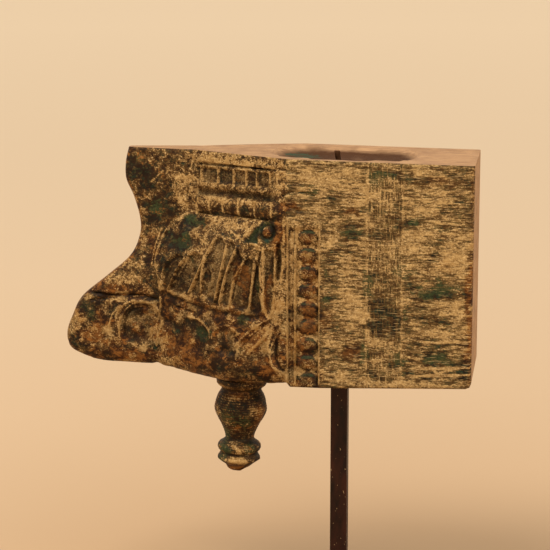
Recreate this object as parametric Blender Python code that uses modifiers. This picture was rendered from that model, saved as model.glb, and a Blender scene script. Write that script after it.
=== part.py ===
"""Carved wooden bracket with a turned pendant, held up on a square steel rod in a plate foot.

The tables below are in millimetres. X runs from the carved nose (-) to the plain end (+) and Y from
the face that is shown (-) to the hidden one (+). Heights in the block's own tables count up from the
block's zero, which BLOCK_LIFT sets over the underside of the foot.
"""

import math

import bpy
import numpy as np

MM = 0.001
GAP = 0.3

# Height of the block's zero over the underside of the foot. The rod's length follows it.
BLOCK_LIFT = 230.0

# The block: a full-thickness beam end that narrows to a thin tongue on the left.
HALF_THICK = 59.0
END_X = 127.8
END_CORNER_R = 5.0
TONGUE_HALF_EDGE = 5.5
TONGUE_HALF_ROOT = 15.5
TONGUE_TAPER = 60.0
TONGUE_HALF_NOSE = 14.0
NOSE_BLEND_Z = (145.0, 85.0)
SKIN_MIN = 2.0

# Height of the sawn top along X.
TOP_LINE = (
    (-204.0, 225.0),
    (-140.0, 224.8),
    (-75.0, 223.8),
    (0.0, 222.4),
    (80.0, 220.9),
    (127.8, 220.2),
)

# Cyma profile of the tongue, from the top corner round the nose to its underside.
TONGUE_PROFILE = (
    (-203.0, 225.0),
    (-206.3, 210.0),
    (-206.0, 194.0),
    (-199.0, 178.0),
    (-193.0, 156.0),
    (-193.8, 139.5),
    (-203.4, 119.5),
    (-228.0, 98.0),
    (-250.6, 79.0),
    (-261.0, 59.5),
    (-266.8, 42.0),
    (-262.0, 27.0),
    (-241.0, 16.8),
)

# Underside of the block: x and height.
UNDERSIDE = (
    (-241.0, 16.8),
    (-226.0, 14.8),
    (-183.0, 13.6),
    (-176.5, 15.2),
    (-170.0, 13.2),
    (-140.0, 9.6),
    (-120.0, 8.6),
    (-70.0, 6.8),
    (-50.0, 7.4),
    (-42.8, 8.8),
    (-12.0, 8.6),
    (122.8, 12.5),
)

# The half-round bell: left limit of its swelling, by height, and the width of the swelling.
BELL_LEFT = (
    (19.0, -176.0),
    (75.0, -172.0),
    (94.0, -177.0),
    (116.0, -178.0),
    (132.0, -174.0),
    (145.0, -166.0),
    (168.0, -142.0),
    (225.0, -137.0),
)
BELL_SWELL_LOW = 75.0
BELL_SWELL_HIGH = 98.0
BELL_SWELL_Z = (100.0, 200.0)
BELL_FULLNESS = 0.05
BELL_RIGHT_X = -42.8
LADDER_RIGHT_X = -11.0
BEAM_EDGE = 1.5

# Worn arrises: radius along the tongue's edge, under the nose, under the bell and on the beam.
R_FASCIA = 6.0
R_NOSE = 12.0
R_BELL_FOOT = 22.0
R_BEAM = 2.5
R_TOP = 1.0
BELL_FOOT_X = (-176.0, -140.0)
BEAM_FOOT_X = (-48.0, -40.0)

# The neck's rows, by height.
NECK_LEFT_X = (-136.0, -133.0)
NECK_RIGHT_X = (-47.0, -44.0)
GROOVE_TOP_Z = 212.3
GROOVE_LOW_Z = 166.8
GROOVE_HALF = 1.8
GROOVE_DEEP = 3.2
DENTIL_Z = (195.6, 208.8)
DENTIL_RIBS = (-130.5, -113.2, -97.4, -84.5, -73.8, -60.9, -53.5)
DENTIL_DEEP = 2.8
RIB_HALF = 1.5
DENTIL_RIB_HALF = 2.4
SCOTIA_Z = (183.8, 191.0)
SCOTIA_DEEP = 3.6
SCOTIA_ARC = 0.62 * math.pi
SCOTIA_LIP_DEEP = 3.2
SCOTIA_LIP_HALF = 1.6
CUSHION_Z = (168.5, 182.0)
CUSHION_RIBS = (-134.4, -121.4, -107.1, -91.4, -75.1, -58.6, -46.0)
CUSHION_HIGH = 1.8
CUSHION_RIB_HIGH = 1.2
CUSHION_CREST = 1.5

# The bell's hanging petals: each rib runs top, middle, foot, and flares to the left.
PETAL_RIBS = (
    ((-165.0, 118.0), (-168.5, 105.0), (-169.0, 91.0)),
    ((-143.0, 126.0), (-153.0, 112.0), (-163.0, 91.5)),
    ((-123.0, 128.0), (-131.0, 110.5), (-139.5, 93.0)),
    ((-114.0, 145.0), (-124.5, 122.0), (-127.0, 94.0)),
    ((-101.0, 142.0), (-105.0, 122.0), (-113.0, 86.0)),
    ((-91.0, 140.0), (-100.0, 118.0), (-108.0, 87.0)),
    ((-84.0, 127.0), (-93.0, 110.0), (-97.0, 86.0)),
    ((-74.0, 127.0), (-76.0, 110.0), (-79.0, 81.0)),
    ((-69.0, 122.0), (-68.0, 100.0), (-65.6, 80.0)),
)
RIB_LINE_HALF = 2.3
RIB_LINE_HIGH = 1.5
PETAL_DEEP = 3.4
PETAL_SOFT = 4.0
PETAL_ARCH = 5.0
ARCH_SHARE = 0.7

# Plain leaves rolled over the bell's shoulder, and the band between petals and bulge.
SHOULDER_LEAVES = (
    ((-147.0, 156.0), (-130.0, 163.5), (-116.0, 161.0), (-122.0, 151.5), (-142.0, 147.0)),
    ((-168.0, 136.0), (-150.0, 146.0), (-128.0, 147.0), (-130.0, 133.0), (-160.0, 127.0)),
)
LEAF_DEEP = 2.4
LEAF_SOFT = 7.0
WAIST_DEEP = 2.2
WAIST_HALF = 5.0
EDGE_HIGH = 1.6
EDGE_HALF = 3.0
WAIST = ((-166.0, 86.0), (-140.0, 80.0), (-105.0, 76.5), (-70.0, 74.0))
BELL_EDGE = (
    (-143.0, 164.0),
    (-160.0, 151.0),
    (-171.5, 138.0),
    (-175.0, 122.0),
    (-171.0, 91.0),
    (-171.0, 68.0),
)

# Beside the fillets: round boss, triangle, long petal, deep cut, flowing edge and drop.
ROUND_BOSS = (-61.9, 155.5)
ROUND_BOSS_R = 6.5
BOSS_DEEP = 2.4
BOSS_HIGH = 1.4
BOSS_LINE_HALF = 2.2
BOSS_HEAD_R = 5.0
TRIANGLE = ((-71.0, 161.0), (-85.0, 143.5), (-71.0, 143.5))
LONG_PETAL = (
    (-65.6, 140.0),
    (-65.8, 105.0),
    (-64.5, 82.0),
    (-60.5, 75.0),
    (-56.5, 82.0),
    (-54.8, 105.0),
    (-54.6, 140.0),
)
TRIANGLE_DEEP = 3.6
TRIANGLE_SOFT = 3.0
LONG_PETAL_DEEP = 2.6
LONG_PETAL_SOFT = 3.4
LONG_PETAL_HIGH = 1.4
LONG_PETAL_HALF = 2.0
DEEP_CUT = ((-51.2, 143.0), (-50.6, 130.0), (-52.0, 112.0))
DEEP_CUT_DEEP = 4.0
DEEP_CUT_HALF = 3.2
FLOW_EDGE = ((-46.4, 166.0), (-46.8, 130.0), (-53.5, 73.0), (-61.0, 49.0), (-57.5, 29.0), (-50.0, 19.0))
FLOW_HALF = 2.6
DROP = ((-47.2, 69.0), (-53.0, 52.0), (-53.0, 33.0), (-47.0, 24.0))
DROP_DEEP = 2.4
DROP_HALF = 3.0

# Arched lotus petals on the nose and bulge: centre x, top z, width, height.
LOTUS_PETALS = (
    (-193.0, 78.0, 46.0, 44.0),
    (-195.5, 72.0, 32.0, 34.0),
    (-137.0, 68.5, 38.0, 36.0),
    (-101.5, 65.0, 28.0, 30.0),
)
LOTUS_DEEP = 2.0
LOTUS_SOFT = 6.0
LOTUS_HEAD = 0.45
LOTUS_FOOT = 0.36
LOTUS_STEPS = 12
EYE = (-164.7, 59.6)
EYE_R = 7.0
EYE_DEEP = 2.8
NOSE_GROOVE = ((-244.0, 85.5), (-220.0, 82.5), (-192.0, 83.0), (-174.0, 79.0))
NOSE_GROOVE_DEEP = 3.0
NOSE_GROOVE_HALF = 2.4
LEAF_LINE_HALF = 2.6
LEAF_LINES = (
    ((-59.0, 74.5), (-78.0, 62.5), (-92.0, 47.0)),
    ((-54.5, 68.0), (-67.0, 53.5), (-80.0, 40.0)),
)

# Upright fillets and the ladder of tongues between them.
FILLET_X = (-42.8, -36.0, -13.5)
FILLET_TOP_Z = (169.0, 144.0, 166.0)
FILLET_HALF = 1.7
FILLET_HIGH = 1.4
CHANNEL_DEEP = 2.6
CHANNEL_TOP_Z = (157.0, 161.0)
CHANNEL_SIDE = 0.8
LADDER_X = (-34.0, -15.2)
LADDER_TOP_Z = 151.0
LADDER_PITCH = 16.9
LADDER_COUNT = 9
LADDER_HALF_TALL = 6.6
LADDER_HIGH = 2.4
LADDER_NOSE = 0.55

# The carving dies out towards the block's rim, and the hidden face is cut shallower.
RIM_FADE = (1.0, 7.0)
TOP_FADE = (0.5, 3.0)
HIDDEN_SHARE = 0.75

# Worn hollow in the top face.
SCOOP_X = 4.0
SCOOP_HALF_LONG = 69.0
SCOOP_HALF_WIDE = 43.0
SCOOP_DEEP = 7.0
SCOOP_SQUARE = 3
SCOOP_WALL = 0.6

# Grid that is sampled before it is thinned, and the share of its triangles that is kept.
COLUMNS_CARVED = 112
COLUMNS_LADDER = 22
COLUMNS_BEAM = 6
ROWS = 122
RINGS = 16
KEPT = 0.092
COLUMN_CROWD = 0.09

# Pendant, down its axis from the block's underside: depth and radius.
PENDANT_X = -95.2
PENDANT_Y = 0.0
PENDANT_TURNING = (
    (0.0, 17.0),
    (4.0, 24.3),
    (7.5, 25.0),
    (11.0, 24.0),
    (14.3, 20.2),
    (17.0, 20.0),
    (21.5, 22.6),
    (26.0, 24.2),
    (31.5, 25.4),
    (35.0, 25.7),
    (39.0, 25.0),
    (44.5, 22.8),
    (50.0, 19.6),
    (55.5, 16.9),
    (60.5, 15.0),
    (64.8, 14.4),
    (67.3, 16.2),
    (70.0, 19.8),
    (73.2, 21.4),
    (76.3, 20.4),
    (79.2, 18.4),
    (84.8, 21.2),
    (88.0, 18.4),
    (91.2, 13.9),
    (94.5, 11.8),
    (96.6, 9.0),
    (97.2, 4.0),
)
TENON_R = 11.0
TENON_LONG = 28.0
TENON_EASE = 1.0
SOCKET_SPARE = 1.0
TURN_STEPS = 24
LEAN_SPAN = (-120.0, -70.0)

# Chip broken from the lower right of the pendant's last ring: its plane and size.
CHIP_DEPTH = 88.5
CHIP_OUT = 15.2
CHIP_NEAR = 6.0
CHIP_TILT = math.radians(38.0)
CHIP_TURN = math.radians(20.0)
CHIP_SIZE = 24.0

# Display stand.
ROD_SIDE = 16.0
ROD_IN_BLOCK = 70.0
FOOT_SIDE = 200.0
FOOT_THICK = 10.0
FOOT_CORNER_R = 8.0
FOOT_EASE = 1.2
SEAT_DEEP = 6.0
ROD_EASE = 0.6
FOOT_CORNER_STEPS = 4

# How far a cutter runs past the face that it opens.
CUTTER_SPARE = 20.0


def smooth(start, end, value):
    part = np.clip((value - start) / (end - start), 0.0, 1.0)
    return part * part * (3.0 - 2.0 * part)


def curve_through(points, steps=8):
    """A smooth line through a few points."""
    given = np.array(points, float)
    found = []
    for index in range(len(given) - 1):
        before = given[max(index - 1, 0)]
        start = given[index]
        end = given[index + 1]
        after = given[min(index + 2, len(given) - 1)]
        for step in range(steps):
            t = step / steps
            linear = (end - before) * t
            square = (2 * before - 5 * start + 4 * end - after) * t * t
            cube = (3 * start - before - 3 * end + after) * t**3
            found.append(0.5 * (2 * start + linear + square + cube))
    found.append(given[-1])
    return np.array(found)


def nearest(x, z, line):
    """Distance from each point to a line of points, and how far along the line it falls."""
    best = np.full(x.shape, 1e9)
    along = np.zeros(x.shape)
    count = len(line) - 1
    for index in range(count):
        start = line[index]
        run = line[index + 1] - start
        part = ((x - start[0]) * run[0] + (z - start[1]) * run[1]) / (run @ run)
        part = np.clip(part, 0.0, 1.0)
        away = np.hypot(x - start[0] - part * run[0], z - start[1] - part * run[1])
        closer = away < best
        best = np.where(closer, away, best)
        along = np.where(closer, (index + part) / count, along)
    return best, along


def hump(distance, half):
    """A rounded ridge: 1 on its line, 0 from half its width outward."""
    return 0.5 + 0.5 * np.cos(math.pi * np.clip(distance / half, 0.0, 1.0))


def rib(x, z, points, half):
    return hump(nearest(x, z, curve_through(points, 5))[0], half)


def band(value, low, high, soft):
    return smooth(low - soft, low + soft, value) * (1.0 - smooth(high - soft, high + soft, value))


def top_z(x):
    places, heights = zip(*TOP_LINE)
    return np.interp(x, places, heights)


def edge_x(z):
    """The tongue's profile: its x at a height."""
    profile = curve_through(TONGUE_PROFILE)[::-1]
    return np.interp(z, profile[:, 1], profile[:, 0])


def underside_z(x):
    places, heights = zip(*UNDERSIDE)
    corner = np.clip(x - (END_X - END_CORNER_R), 0.0, END_CORNER_R)
    return np.interp(x, places, heights) + END_CORNER_R - np.sqrt(END_CORNER_R**2 - corner**2)


def half_thickness(x, z):
    """Half the thickness of the uncarved form: tongue on the left, bell, then the beam."""
    heights, limits = zip(*BELL_LEFT)
    width = BELL_SWELL_LOW + (BELL_SWELL_HIGH - BELL_SWELL_LOW) * smooth(*BELL_SWELL_Z, z)
    swell = np.clip((x - np.interp(z, heights, limits)) / width, 0.0, 1.0)
    swell = swell + BELL_FULLNESS * np.sin(math.pi * swell)
    blade = np.clip((x - edge_x(z)) / TONGUE_TAPER, 0.0, 1.0)
    blade = TONGUE_HALF_EDGE + (TONGUE_HALF_ROOT - TONGUE_HALF_EDGE) * blade
    tongue = blade + (TONGUE_HALF_NOSE - blade) * smooth(*NOSE_BLEND_Z, z)
    return tongue + (HALF_THICK - tongue) * swell


def worn_away(x, z):
    """How far the rounded arrises draw the face back."""
    profile = curve_through(TONGUE_PROFILE)
    side, along = nearest(x, z, profile)
    side_r = R_FASCIA + (R_NOSE - R_FASCIA) * smooth(0.5, 0.8, along)
    side_r = np.minimum(side_r, half_thickness(x, z) - SKIN_MIN)
    under = z - underside_z(x)
    under_r = R_NOSE + (R_BELL_FOOT - R_NOSE) * smooth(*BELL_FOOT_X, x)
    under_r = under_r + (R_BEAM - under_r) * smooth(*BEAM_FOOT_X, x)
    under_r = np.minimum(under_r, half_thickness(x, z) - SKIN_MIN)
    lost = np.zeros(x.shape)
    for away, radius in ((side, side_r), (under, under_r), (END_X - x, R_BEAM), (top_z(x) - z, R_TOP)):
        short = np.clip(radius - away, 0.0, radius)
        lost = np.hypot(lost, radius - np.sqrt(radius**2 - short**2))
    return np.minimum(lost, half_thickness(x, z) - SKIN_MIN)


def neck_rows(x, z):
    """Groove, sunk dentils, scotia, cushions and groove, across the bell's neck."""
    across = smooth(*NECK_LEFT_X, x) * (1.0 - smooth(*NECK_RIGHT_X, x))
    height = -GROOVE_DEEP * hump(abs(z - GROOVE_TOP_Z), GROOVE_HALF)
    height = height - GROOVE_DEEP * hump(abs(z - GROOVE_LOW_Z), GROOVE_HALF)
    open_part = np.ones(x.shape)
    for place in DENTIL_RIBS:
        open_part = open_part * (1.0 - hump(abs(x - place), DENTIL_RIB_HALF))
    height = height - DENTIL_DEEP * open_part * band(z, *DENTIL_Z, 1.0)
    low, high = SCOTIA_Z
    drop = np.clip((high - z) / (high - low), 0.0, 1.0)
    height = height - SCOTIA_DEEP * np.sin(drop * SCOTIA_ARC) * (z > low) * (z < high)
    height = height - SCOTIA_LIP_DEEP * hump(np.clip(low - z, 0.0, None), SCOTIA_LIP_HALF) * (z <= low)
    low, high = CUSHION_Z
    edges = np.array(CUSHION_RIBS)
    for left, right in zip(edges[:-1], edges[1:]):
        part = (x - 0.5 * (left + right)) / (0.5 * (right - left))
        rise = (z - 0.5 * (low + high) - CUSHION_CREST) / (0.5 * (high - low))
        pillow = np.clip(1.0 - part**4, 0.0, 1.0) * np.clip(1.0 - rise**2, -0.6, 1.0)
        inside = (abs(part) < 1.0) * band(z, low, high, 0.8)
        height = height + CUSHION_HIGH * pillow * inside
    for place in CUSHION_RIBS:
        height = height + CUSHION_RIB_HIGH * hump(abs(x - place), RIB_HALF) * band(z, low, high, 0.8)
    return height * across


def sunk(x, z, outline, soft):
    """A hollow with a rounded edge: 0 outside an outline, rising to 1 inside it."""
    corners = np.array(outline, float)
    closed = np.vstack([corners, corners[:1]])
    inside = np.zeros(x.shape, bool)
    for start, end in zip(closed[:-1], closed[1:]):
        crosses = (start[1] > z) != (end[1] > z)
        rise = end[1] - start[1] if end[1] != start[1] else 1e-9
        inside ^= crosses & (x < start[0] + (z - start[1]) / rise * (end[0] - start[0]))
    return inside * smooth(0.0, soft, nearest(x, z, closed)[0])


def bell_petals(x, z):
    """Long petals hanging from the neck: hollows with arched tops between the ribs."""
    lines = [curve_through(points, 5) for points in PETAL_RIBS]
    hollow = np.zeros(x.shape)
    ridge = np.zeros(x.shape)
    for left, right in zip(lines[:-1], lines[1:]):
        arch = 0.5 * (left[0] + right[0]) + (0.0, PETAL_ARCH)
        foot = 0.5 * (left[-1] + right[-1]) - (0.0, PETAL_ARCH)
        top_line = curve_through((left[0], arch, right[0]), 4)
        foot_line = curve_through((right[-1], foot, left[-1]), 4)
        outline = np.vstack([top_line[:-1], right, foot_line[1:-1], left[:0:-1]])
        hollow = np.maximum(hollow, sunk(x, z, outline, PETAL_SOFT))
        ridge = np.maximum(ridge, ARCH_SHARE * hump(nearest(x, z, top_line)[0], RIB_LINE_HALF))
    for line in lines:
        ridge = np.maximum(ridge, hump(nearest(x, z, line)[0], RIB_LINE_HALF))
    return RIB_LINE_HIGH * ridge - PETAL_DEEP * hollow


def shoulder(x, z):
    """Two plain leaves rolled over the bell's shoulder, the bell's edge and its waist."""
    height = np.zeros(x.shape)
    for outline in SHOULDER_LEAVES:
        height = height - LEAF_DEEP * sunk(x, z, curve_through(outline, 4), LEAF_SOFT)
    height = height - WAIST_DEEP * rib(x, z, WAIST, WAIST_HALF)
    return height + EDGE_HIGH * rib(x, z, BELL_EDGE, EDGE_HALF)


def beside_fillets(x, z):
    """Round boss, triangle, long petal, deep cut, flowing edge and drop by the first fillet."""
    away = np.hypot(x - ROUND_BOSS[0], z - ROUND_BOSS[1])
    height = BOSS_HIGH * hump(away, BOSS_HEAD_R) - BOSS_DEEP * hump(abs(away - ROUND_BOSS_R), BOSS_LINE_HALF)
    height = height - TRIANGLE_DEEP * sunk(x, z, TRIANGLE, TRIANGLE_SOFT)
    line = curve_through(LONG_PETAL, 5)
    height = height - LONG_PETAL_DEEP * sunk(x, z, line, LONG_PETAL_SOFT)
    height = height + LONG_PETAL_HIGH * hump(nearest(x, z, line)[0], LONG_PETAL_HALF)
    height = height - DEEP_CUT_DEEP * rib(x, z, DEEP_CUT, DEEP_CUT_HALF)
    height = height + EDGE_HIGH * rib(x, z, FLOW_EDGE, FLOW_HALF)
    return height - DROP_DEEP * rib(x, z, DROP, DROP_HALF)


def lotus_arch(centre, top, wide, tall):
    """Outline of one arched petal: upright sides drawn in to the foot, and a round head."""
    outline = []
    head = LOTUS_HEAD * tall
    for step in range(LOTUS_STEPS + 1):
        angle = math.pi * step / LOTUS_STEPS
        outline.append((centre - 0.5 * wide * math.cos(angle), top - head + head * math.sin(angle)))
    outline.append((centre + LOTUS_FOOT * wide, top - tall))
    outline.append((centre - LOTUS_FOOT * wide, top - tall))
    return outline


def lotus_petals(x, z):
    """Arched petals on the bulge, the band over the nose, an eye hollow and the slanting leaf."""
    height = np.zeros(x.shape)
    for petal in LOTUS_PETALS:
        outline = lotus_arch(*petal)
        hollow = sunk(x, z, outline, LOTUS_SOFT)
        height = height - LOTUS_DEEP * hollow
        edge = nearest(x, z, np.array(outline[:-1]))[0]
        height = height + RIB_LINE_HIGH * hump(edge, RIB_LINE_HALF)
    height = height - NOSE_GROOVE_DEEP * rib(x, z, NOSE_GROOVE, NOSE_GROOVE_HALF)
    height = height - EYE_DEEP * hump(np.hypot(x - EYE[0], z - EYE[1]), EYE_R)
    for points in LEAF_LINES:
        height = height + EDGE_HIGH * rib(x, z, points, LEAF_LINE_HALF)
    return height


def fillets(x, z):
    """Upright fillets, the sunk channel and the ladder of rounded tongues."""
    height = np.zeros(x.shape)
    bed = band(x, FILLET_X[0], FILLET_X[-1], CHANNEL_SIDE) * (1.0 - smooth(*CHANNEL_TOP_Z, z))
    height = height - CHANNEL_DEEP * bed
    start, end = LADDER_X
    for step in range(LADDER_COUNT):
        middle = LADDER_TOP_Z - LADDER_PITCH * step
        past = np.clip((x - start) / (LADDER_NOSE * (end - start)), 0.0, 1.0)
        tall = LADDER_HALF_TALL * np.sqrt(1.0 - (1.0 - past) ** 2)
        part = abs(z - middle) / np.maximum(tall, 0.5)
        inside = (x > start) * (x < end) * (part < 1.0)
        height = height + LADDER_HIGH * inside * np.sqrt(np.clip(1.0 - part**2, 0.0, 1.0))
    for place, top in zip(FILLET_X, FILLET_TOP_Z):
        line = hump(abs(x - place), FILLET_HALF) * (z < top)
        height = height * (1.0 - line) + FILLET_HIGH * line
    return height


def relief(x, z, hidden):
    """Height of the carving over the plain form. The hidden face is plainer."""
    height = neck_rows(x, z) + bell_petals(x, z) + fillets(x, z)
    if hidden:
        height = HIDDEN_SHARE * height
    else:
        height = height + shoulder(x, z) + beside_fillets(x, z) + lotus_petals(x, z)
    rim = np.minimum(z - underside_z(x), nearest(x, z, curve_through(TONGUE_PROFILE))[0])
    return height * smooth(*RIM_FADE, rim) * smooth(*TOP_FADE, top_z(x) - z)


def face_grid():
    """x and z of the face's grid, rows level across the block and columns close at the tongue."""
    down = np.linspace(0.0, 1.0, ROWS + 1)[None, :]
    start_z = TONGUE_PROFILE[0][1]
    left_z = start_z + down * (TONGUE_PROFILE[-1][1] - start_z)
    left_x = edge_x(left_z)
    part = np.linspace(0.0, 1.0, COLUMNS_CARVED + 1)[:, None]
    part = part - COLUMN_CROWD * np.sin(math.pi * part)
    x = left_x + part * (BELL_RIGHT_X - left_x)
    right_z = top_z(BELL_RIGHT_X) + down * (underside_z(BELL_RIGHT_X) - top_z(BELL_RIGHT_X))
    z = left_z + part * (right_z - left_z)
    z = z + (top_z(x[:, :1]) - z[:, :1]) * (1.0 - down) ** 4
    z = z + (underside_z(x[:, -1:]) - z[:, -1:]) * down**4
    ladder = np.linspace(BELL_RIGHT_X, LADDER_RIGHT_X, COLUMNS_LADDER + 1)[1:, None] + 0.0 * down
    share = np.linspace(0.0, 1.0, COLUMNS_BEAM + 1)[1:, None]
    beam = LADDER_RIGHT_X + share * (END_X - BEAM_EDGE - LADDER_RIGHT_X) + 0.0 * down
    beam_x = np.vstack([ladder, beam, END_X + 0.0 * down])
    beam_z = top_z(beam_x) + down * (underside_z(beam_x) - top_z(beam_x))
    return np.vstack([x, beam_x]), np.vstack([z, beam_z])


def carved_face(x, z, hidden):
    """Points of one carved face, moved out along the plain form's normals."""
    plain = np.stack([x, -(half_thickness(x, z) - worn_away(x, z)), z], axis=2)
    along = np.gradient(plain, axis=0)
    down = np.gradient(plain, axis=1)
    normal = np.cross(down, along)
    normal = normal / np.maximum(np.linalg.norm(normal, axis=2, keepdims=True), 1e-9)
    normal = normal * -np.sign(normal[..., 1:2])
    carved = plain + normal * relief(x, z, hidden)[..., None]
    if hidden:
        carved = carved * np.array((1.0, -1.0, 1.0))
    return carved


def scooped(points):
    """The worn hollow drawn into the top face."""
    x, y, z = points[..., 0], points[..., 1], points[..., 2]
    part = abs((x - SCOOP_X) / SCOOP_HALF_LONG) ** SCOOP_SQUARE + abs(y / SCOOP_HALF_WIDE) ** SCOOP_SQUARE
    lowered = z - SCOOP_DEEP * np.clip(1.0 - part, 0.0, 1.0) ** SCOOP_WALL
    return np.stack([x, y, lowered], axis=-1)


def rim_of(across, down):
    """Grid places round the rim: along the top, down the end, back along the foot and up."""
    places = [(column, 0) for column in range(across)]
    places = places + [(across - 1, row) for row in range(1, down)]
    places = places + [(column, down - 1) for column in range(across - 2, -1, -1)]
    return places + [(0, row) for row in range(down - 2, 0, -1)]


def block_mesh(name):
    """Front and back carved faces joined by rings round the rim into one closed skin."""
    x, z = face_grid()
    front = carved_face(x, z, False)
    back = carved_face(x, z, True)
    across, down = x.shape
    count = across * down
    rim = rim_of(across, down)
    at = np.array(rim)
    rings = []
    for ring in range(1, RINGS):
        part = ring / RINGS
        points = (1.0 - part) * front[at[:, 0], at[:, 1]] + part * back[at[:, 0], at[:, 1]]
        points[:across] = scooped(points[:across])
        rings.append(points)
    points = np.vstack([front.reshape(-1, 3), back.reshape(-1, 3)] + rings) + (0.0, 0.0, BLOCK_LIFT)
    faces = []
    for column in range(across - 1):
        for row in range(down - 1):
            a = column * down + row
            b = a + down
            faces.append((a, a + 1, b + 1, b))
            faces.append((count + a, count + b, count + b + 1, count + a + 1))
    levels = [[column * down + row for column, row in rim]]
    for ring in range(RINGS - 1):
        levels.append([2 * count + ring * len(rim) + place for place in range(len(rim))])
    levels.append([count + column * down + row for column, row in rim])
    for near, far in zip(levels[:-1], levels[1:]):
        for place in range(len(rim)):
            after = (place + 1) % len(rim)
            faces.append((near[place], near[after], far[after], far[place]))
    mesh = bpy.data.meshes.new(name)
    mesh.from_pydata((points * MM).tolist(), [], faces)
    mesh.update()
    return mesh


def material(name, colour, roughness, metallic=0.0):
    made = bpy.data.materials.new(name)
    made.use_nodes = True
    shader = made.node_tree.nodes["Principled BSDF"]
    shader.inputs["Base Color"].default_value = (*colour, 1.0)
    shader.inputs["Roughness"].default_value = roughness
    shader.inputs["Metallic"].default_value = metallic
    return made


def collection(name):
    made = bpy.data.collections.new(name)
    bpy.context.scene.collection.children.link(made)
    return made


def node(name, mesh, group, finish=None):
    made = bpy.data.objects.new(name, mesh)
    group.objects.link(made)
    if finish:
        mesh.materials.append(finish)
    return made


def box_mesh(name, size, centre):
    half = [0.5 * length for length in size]
    corners = []
    for sx in (-1, 1):
        for sy in (-1, 1):
            for sz in (-1, 1):
                corner = (centre[0] + sx * half[0], centre[1] + sy * half[1], centre[2] + sz * half[2])
                corners.append([value * MM for value in corner])
    sides = [(0, 1, 3, 2), (4, 6, 7, 5), (0, 4, 5, 1), (2, 3, 7, 6), (0, 2, 6, 4), (1, 5, 7, 3)]
    mesh = bpy.data.meshes.new(name)
    mesh.from_pydata(corners, [], sides)
    mesh.update()
    return mesh


def helper(name, mesh, group):
    made = node(name, mesh, group)
    made.hide_render = True
    made.display_type = "WIRE"
    return made


def cut(target, cutter, name):
    made = target.modifiers.new(name, "BOOLEAN")
    made.operation = "DIFFERENCE"
    made.solver = "EXACT"
    made.object = cutter
    return made


def turned(name, profile, group, finish):
    """A profile of radius and height, top to bottom, turned round the Z axis."""
    mesh = bpy.data.meshes.new(name)
    corners = [(radius * MM, 0.0, height * MM) for radius, height in profile]
    mesh.from_pydata(corners, [(index, index + 1) for index in range(len(corners) - 1)], [])
    made = node(name, mesh, group, finish)
    screw = made.modifiers.new("Turn", "SCREW")
    screw.axis = "Z"
    screw.angle = 2 * math.pi
    screw.steps = TURN_STEPS
    screw.render_steps = TURN_STEPS
    screw.use_merge_vertices = True
    screw.merge_threshold = 0.00001
    screw.use_smooth_shade = True
    return made


def under_at(x):
    """Height of the block's underside over the floor, at one x."""
    return float(underside_z(np.array(x))) + BLOCK_LIFT


def underside_frame():
    """Where the pendant meets the block, and how far it leans: square to the underside there."""
    left, right = LEAN_SPAN
    slope = math.atan2(under_at(right) - under_at(left), right - left)
    return (PENDANT_X * MM, PENDANT_Y * MM, under_at(PENDANT_X) * MM), -slope


def carved_block(group, cutters, finish):
    block = node("carved_block", block_mesh("carved_block"), group, finish)
    thin = block.modifiers.new("Thin", "DECIMATE")
    thin.ratio = KEPT
    thin.use_collapse_triangulate = True
    wide = ROD_SIDE + 2 * GAP
    depth = ROD_IN_BLOCK + GAP + CUTTER_SPARE
    middle = under_at(0.0) - CUTTER_SPARE + 0.5 * depth
    socket = box_mesh("rod_socket", (wide, wide, depth), (0.0, 0.0, middle))
    cut(block, helper("rod_socket", socket, cutters), "Rod socket")
    reach = TENON_LONG + SOCKET_SPARE
    wide = TENON_R + GAP
    line = ((0.0, reach), (wide, reach), (wide, -CUTTER_SPARE), (0.0, -CUTTER_SPARE))
    hole = turned("tenon_socket", line, cutters, None)
    hole.hide_render = True
    hole.display_type = "WIRE"
    hole.location, lean = underside_frame()
    hole.rotation_euler = (0.0, lean, 0.0)
    cut(block, hole, "Tenon socket")
    return block


def pendant_finial(group, cutters, finish):
    """Turned pendant with its tenon, leaning as the underside does."""
    body = [(radius, -GAP - depth) for depth, radius in PENDANT_TURNING]
    shoulder_z = TENON_LONG - TENON_EASE
    tenon = [(0.0, TENON_LONG), (TENON_R - TENON_EASE, TENON_LONG), (TENON_R, shoulder_z), (TENON_R, -GAP)]
    foot = [(0.0, body[-1][1])]
    made = turned("pendant_finial", tenon + body + foot, group, finish)
    made.location, lean = underside_frame()
    made.rotation_euler = (0.0, lean, 0.0)
    chip = box_mesh("ring_chip", (CHIP_SIZE, CHIP_SIZE, CHIP_SIZE), (0.0, 0.0, -0.5 * CHIP_SIZE))
    chip = helper("ring_chip", chip, cutters)
    chip.location = ((PENDANT_X + CHIP_OUT) * MM, -CHIP_NEAR * MM, (under_at(PENDANT_X) - CHIP_DEPTH) * MM)
    chip.rotation_euler = (0.0, -CHIP_TILT, -CHIP_TURN)
    cut(made, chip, "Chip")
    return made


def stand_rod(group, finish):
    low = FOOT_THICK - SEAT_DEEP + GAP
    high = under_at(0.0) + ROD_IN_BLOCK
    mesh = box_mesh("stand_rod", (ROD_SIDE, ROD_SIDE, high - low), (0.0, 0.0, 0.5 * (high + low)))
    made = node("stand_rod", mesh, group, finish)
    ease = made.modifiers.new("Ease", "BEVEL")
    ease.width = ROD_EASE * MM
    ease.segments = 1
    return made


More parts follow.
